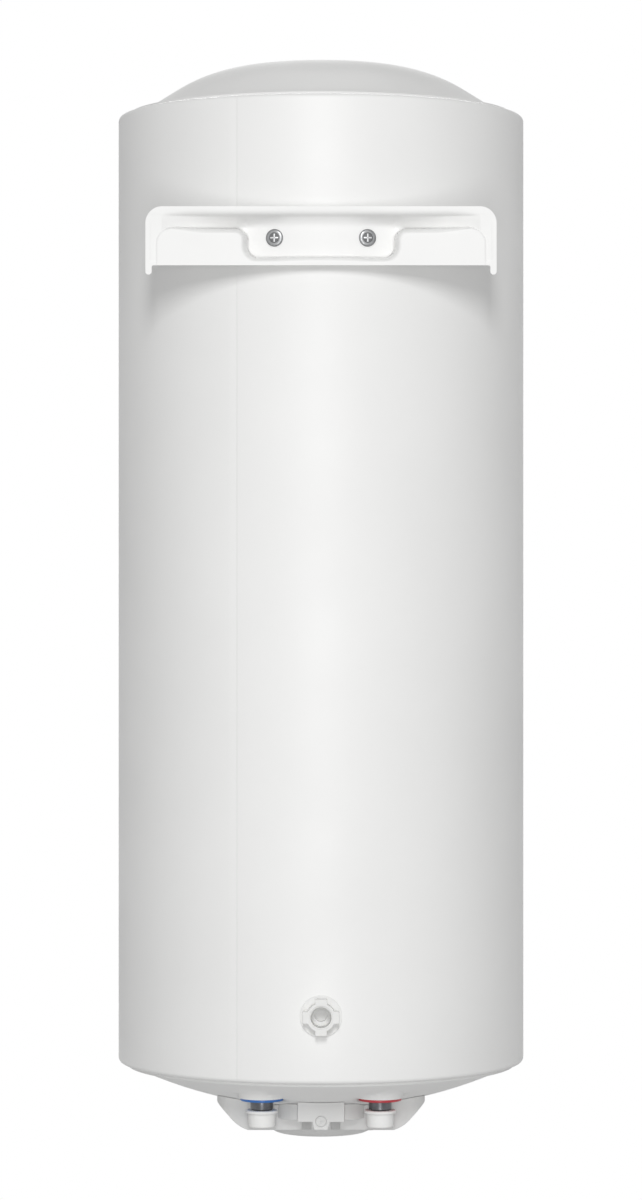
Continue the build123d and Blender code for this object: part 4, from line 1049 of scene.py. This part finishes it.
def makeFloor():
    bm = bmesh.new()
    bmesh.ops.create_circle(bm, cap_ends=True, segments=128, radius=stage["floorRadius"])
    low = min(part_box(node)[0].z for node in frame["nodes"])
    bm.transform(Matrix.Translation((0, tankFoot.y, low - stage["floorDrop"])))
    floor = meshObject("floor", bm)
    if floor.data.polygons[0].normal.z < 0:
        floor.data.flip_normals()
    material = bpy.data.materials.new("paleFloor")
    tree = emptyTree(material)
    spot = addNode(tree, "ShaderNodeTexCoord", out="Object")
    flat = addNode(tree, "ShaderNodeMapping",
                   {"Vector": spot, "Location": (0, -tankFoot.y, 0), "Scale": (1, 1, 0)})
    away = addNode(tree, "ShaderNodeVectorMath", {0: flat}, operation="LENGTH", out="Value")
    near, far = [share * stage["floorRadius"] for share in stage["floorFade"]]
    fade = addNode(tree, "ShaderNodeMapRange", {0: away, 1: near, 2: far}, interpolation_type="SMOOTHSTEP")
    below = addNode(tree, "ShaderNodeNewGeometry", out="Backfacing")
    clear = addNode(tree, "ShaderNodeMath", {0: fade, 1: below}, operation="MAXIMUM")
    matt = addNode(tree, "ShaderNodeBsdfDiffuse", {"Color": hexColour(stage["floorTone"])})
    gone = addNode(tree, "ShaderNodeBsdfTransparent")
    mixed = addNode(tree, "ShaderNodeMixShader", {0: clear, 1: matt, 2: gone})
    addNode(tree, "ShaderNodeOutputMaterial", {"Surface": mixed}, out=None)
    floor.data.materials.append(material)


def makeWorld():
    world = bpy.data.worlds.new("whiteRoom")
    bpy.context.scene.world = world
    tree = emptyTree(world)
    ray = addNode(tree, "ShaderNodeLightPath", out=None)
    seen = ray["Is Camera Ray"]
    for other in ("Is Glossy Ray", "Is Transmission Ray"):
        seen = addNode(tree, "ShaderNodeMath", {0: seen, 1: ray[other]}, operation="MAXIMUM")
    soft, white = [addNode(tree, "ShaderNodeBackground", {"Color": (1, 1, 1, 1), "Strength": strength})
                   for strength in (stage["ambient"], 1.0)]     # a strength of 1 shows as white
    mixed = addNode(tree, "ShaderNodeMixShader", {0: seen, 1: soft, 2: white})
    addNode(tree, "ShaderNodeOutputWorld", {"Surface": mixed}, out=None)


def addLamp(name, watts, size, aim):
    light = bpy.data.lights.new(name, "AREA")
    light.energy = watts
    if isinstance(size, tuple):
        light.shape = "RECTANGLE"
        light.size, light.size_y = size
    else:
        light.shape = "DISK"
        light.size = size
    lampObject = addObject(name, light)
    azimuth, elevation, distance = math.radians(aim[0]), math.radians(aim[1]), aim[2]
    middle = Vector((0, tankFoot.y, camera["place"][2]))
    level = math.cos(elevation)
    ray = Vector((math.sin(azimuth) * level, math.cos(azimuth) * level, math.sin(elevation)))
    lampObject.location = middle + ray * distance
    lampObject.rotation_euler = ray.to_track_quat("Z", "Y").to_euler()
    lampObject.visible_camera = False


def makeStage():
    makeFloor()
    makeWorld()
    for name, lampSet in lamps.items():
        addLamp(name, **lampSet)
    lensData = bpy.data.cameras.new("photoCamera")
    lensData.lens = camera["lens"]
    lensData.sensor_width = camera["sensor"]
    lensData.clip_end = camera["reach"]
    eye = addObject("photoCamera", lensData)
    eye.location = camera["place"]
    eye.rotation_euler = (math.pi / 2, 0, math.pi)     # level, facing the heater's back
    bpy.context.scene.camera = eye
    bpy.context.scene.view_settings.view_transform = "Standard"


makeStage()
print("stage: floor, light and camera")
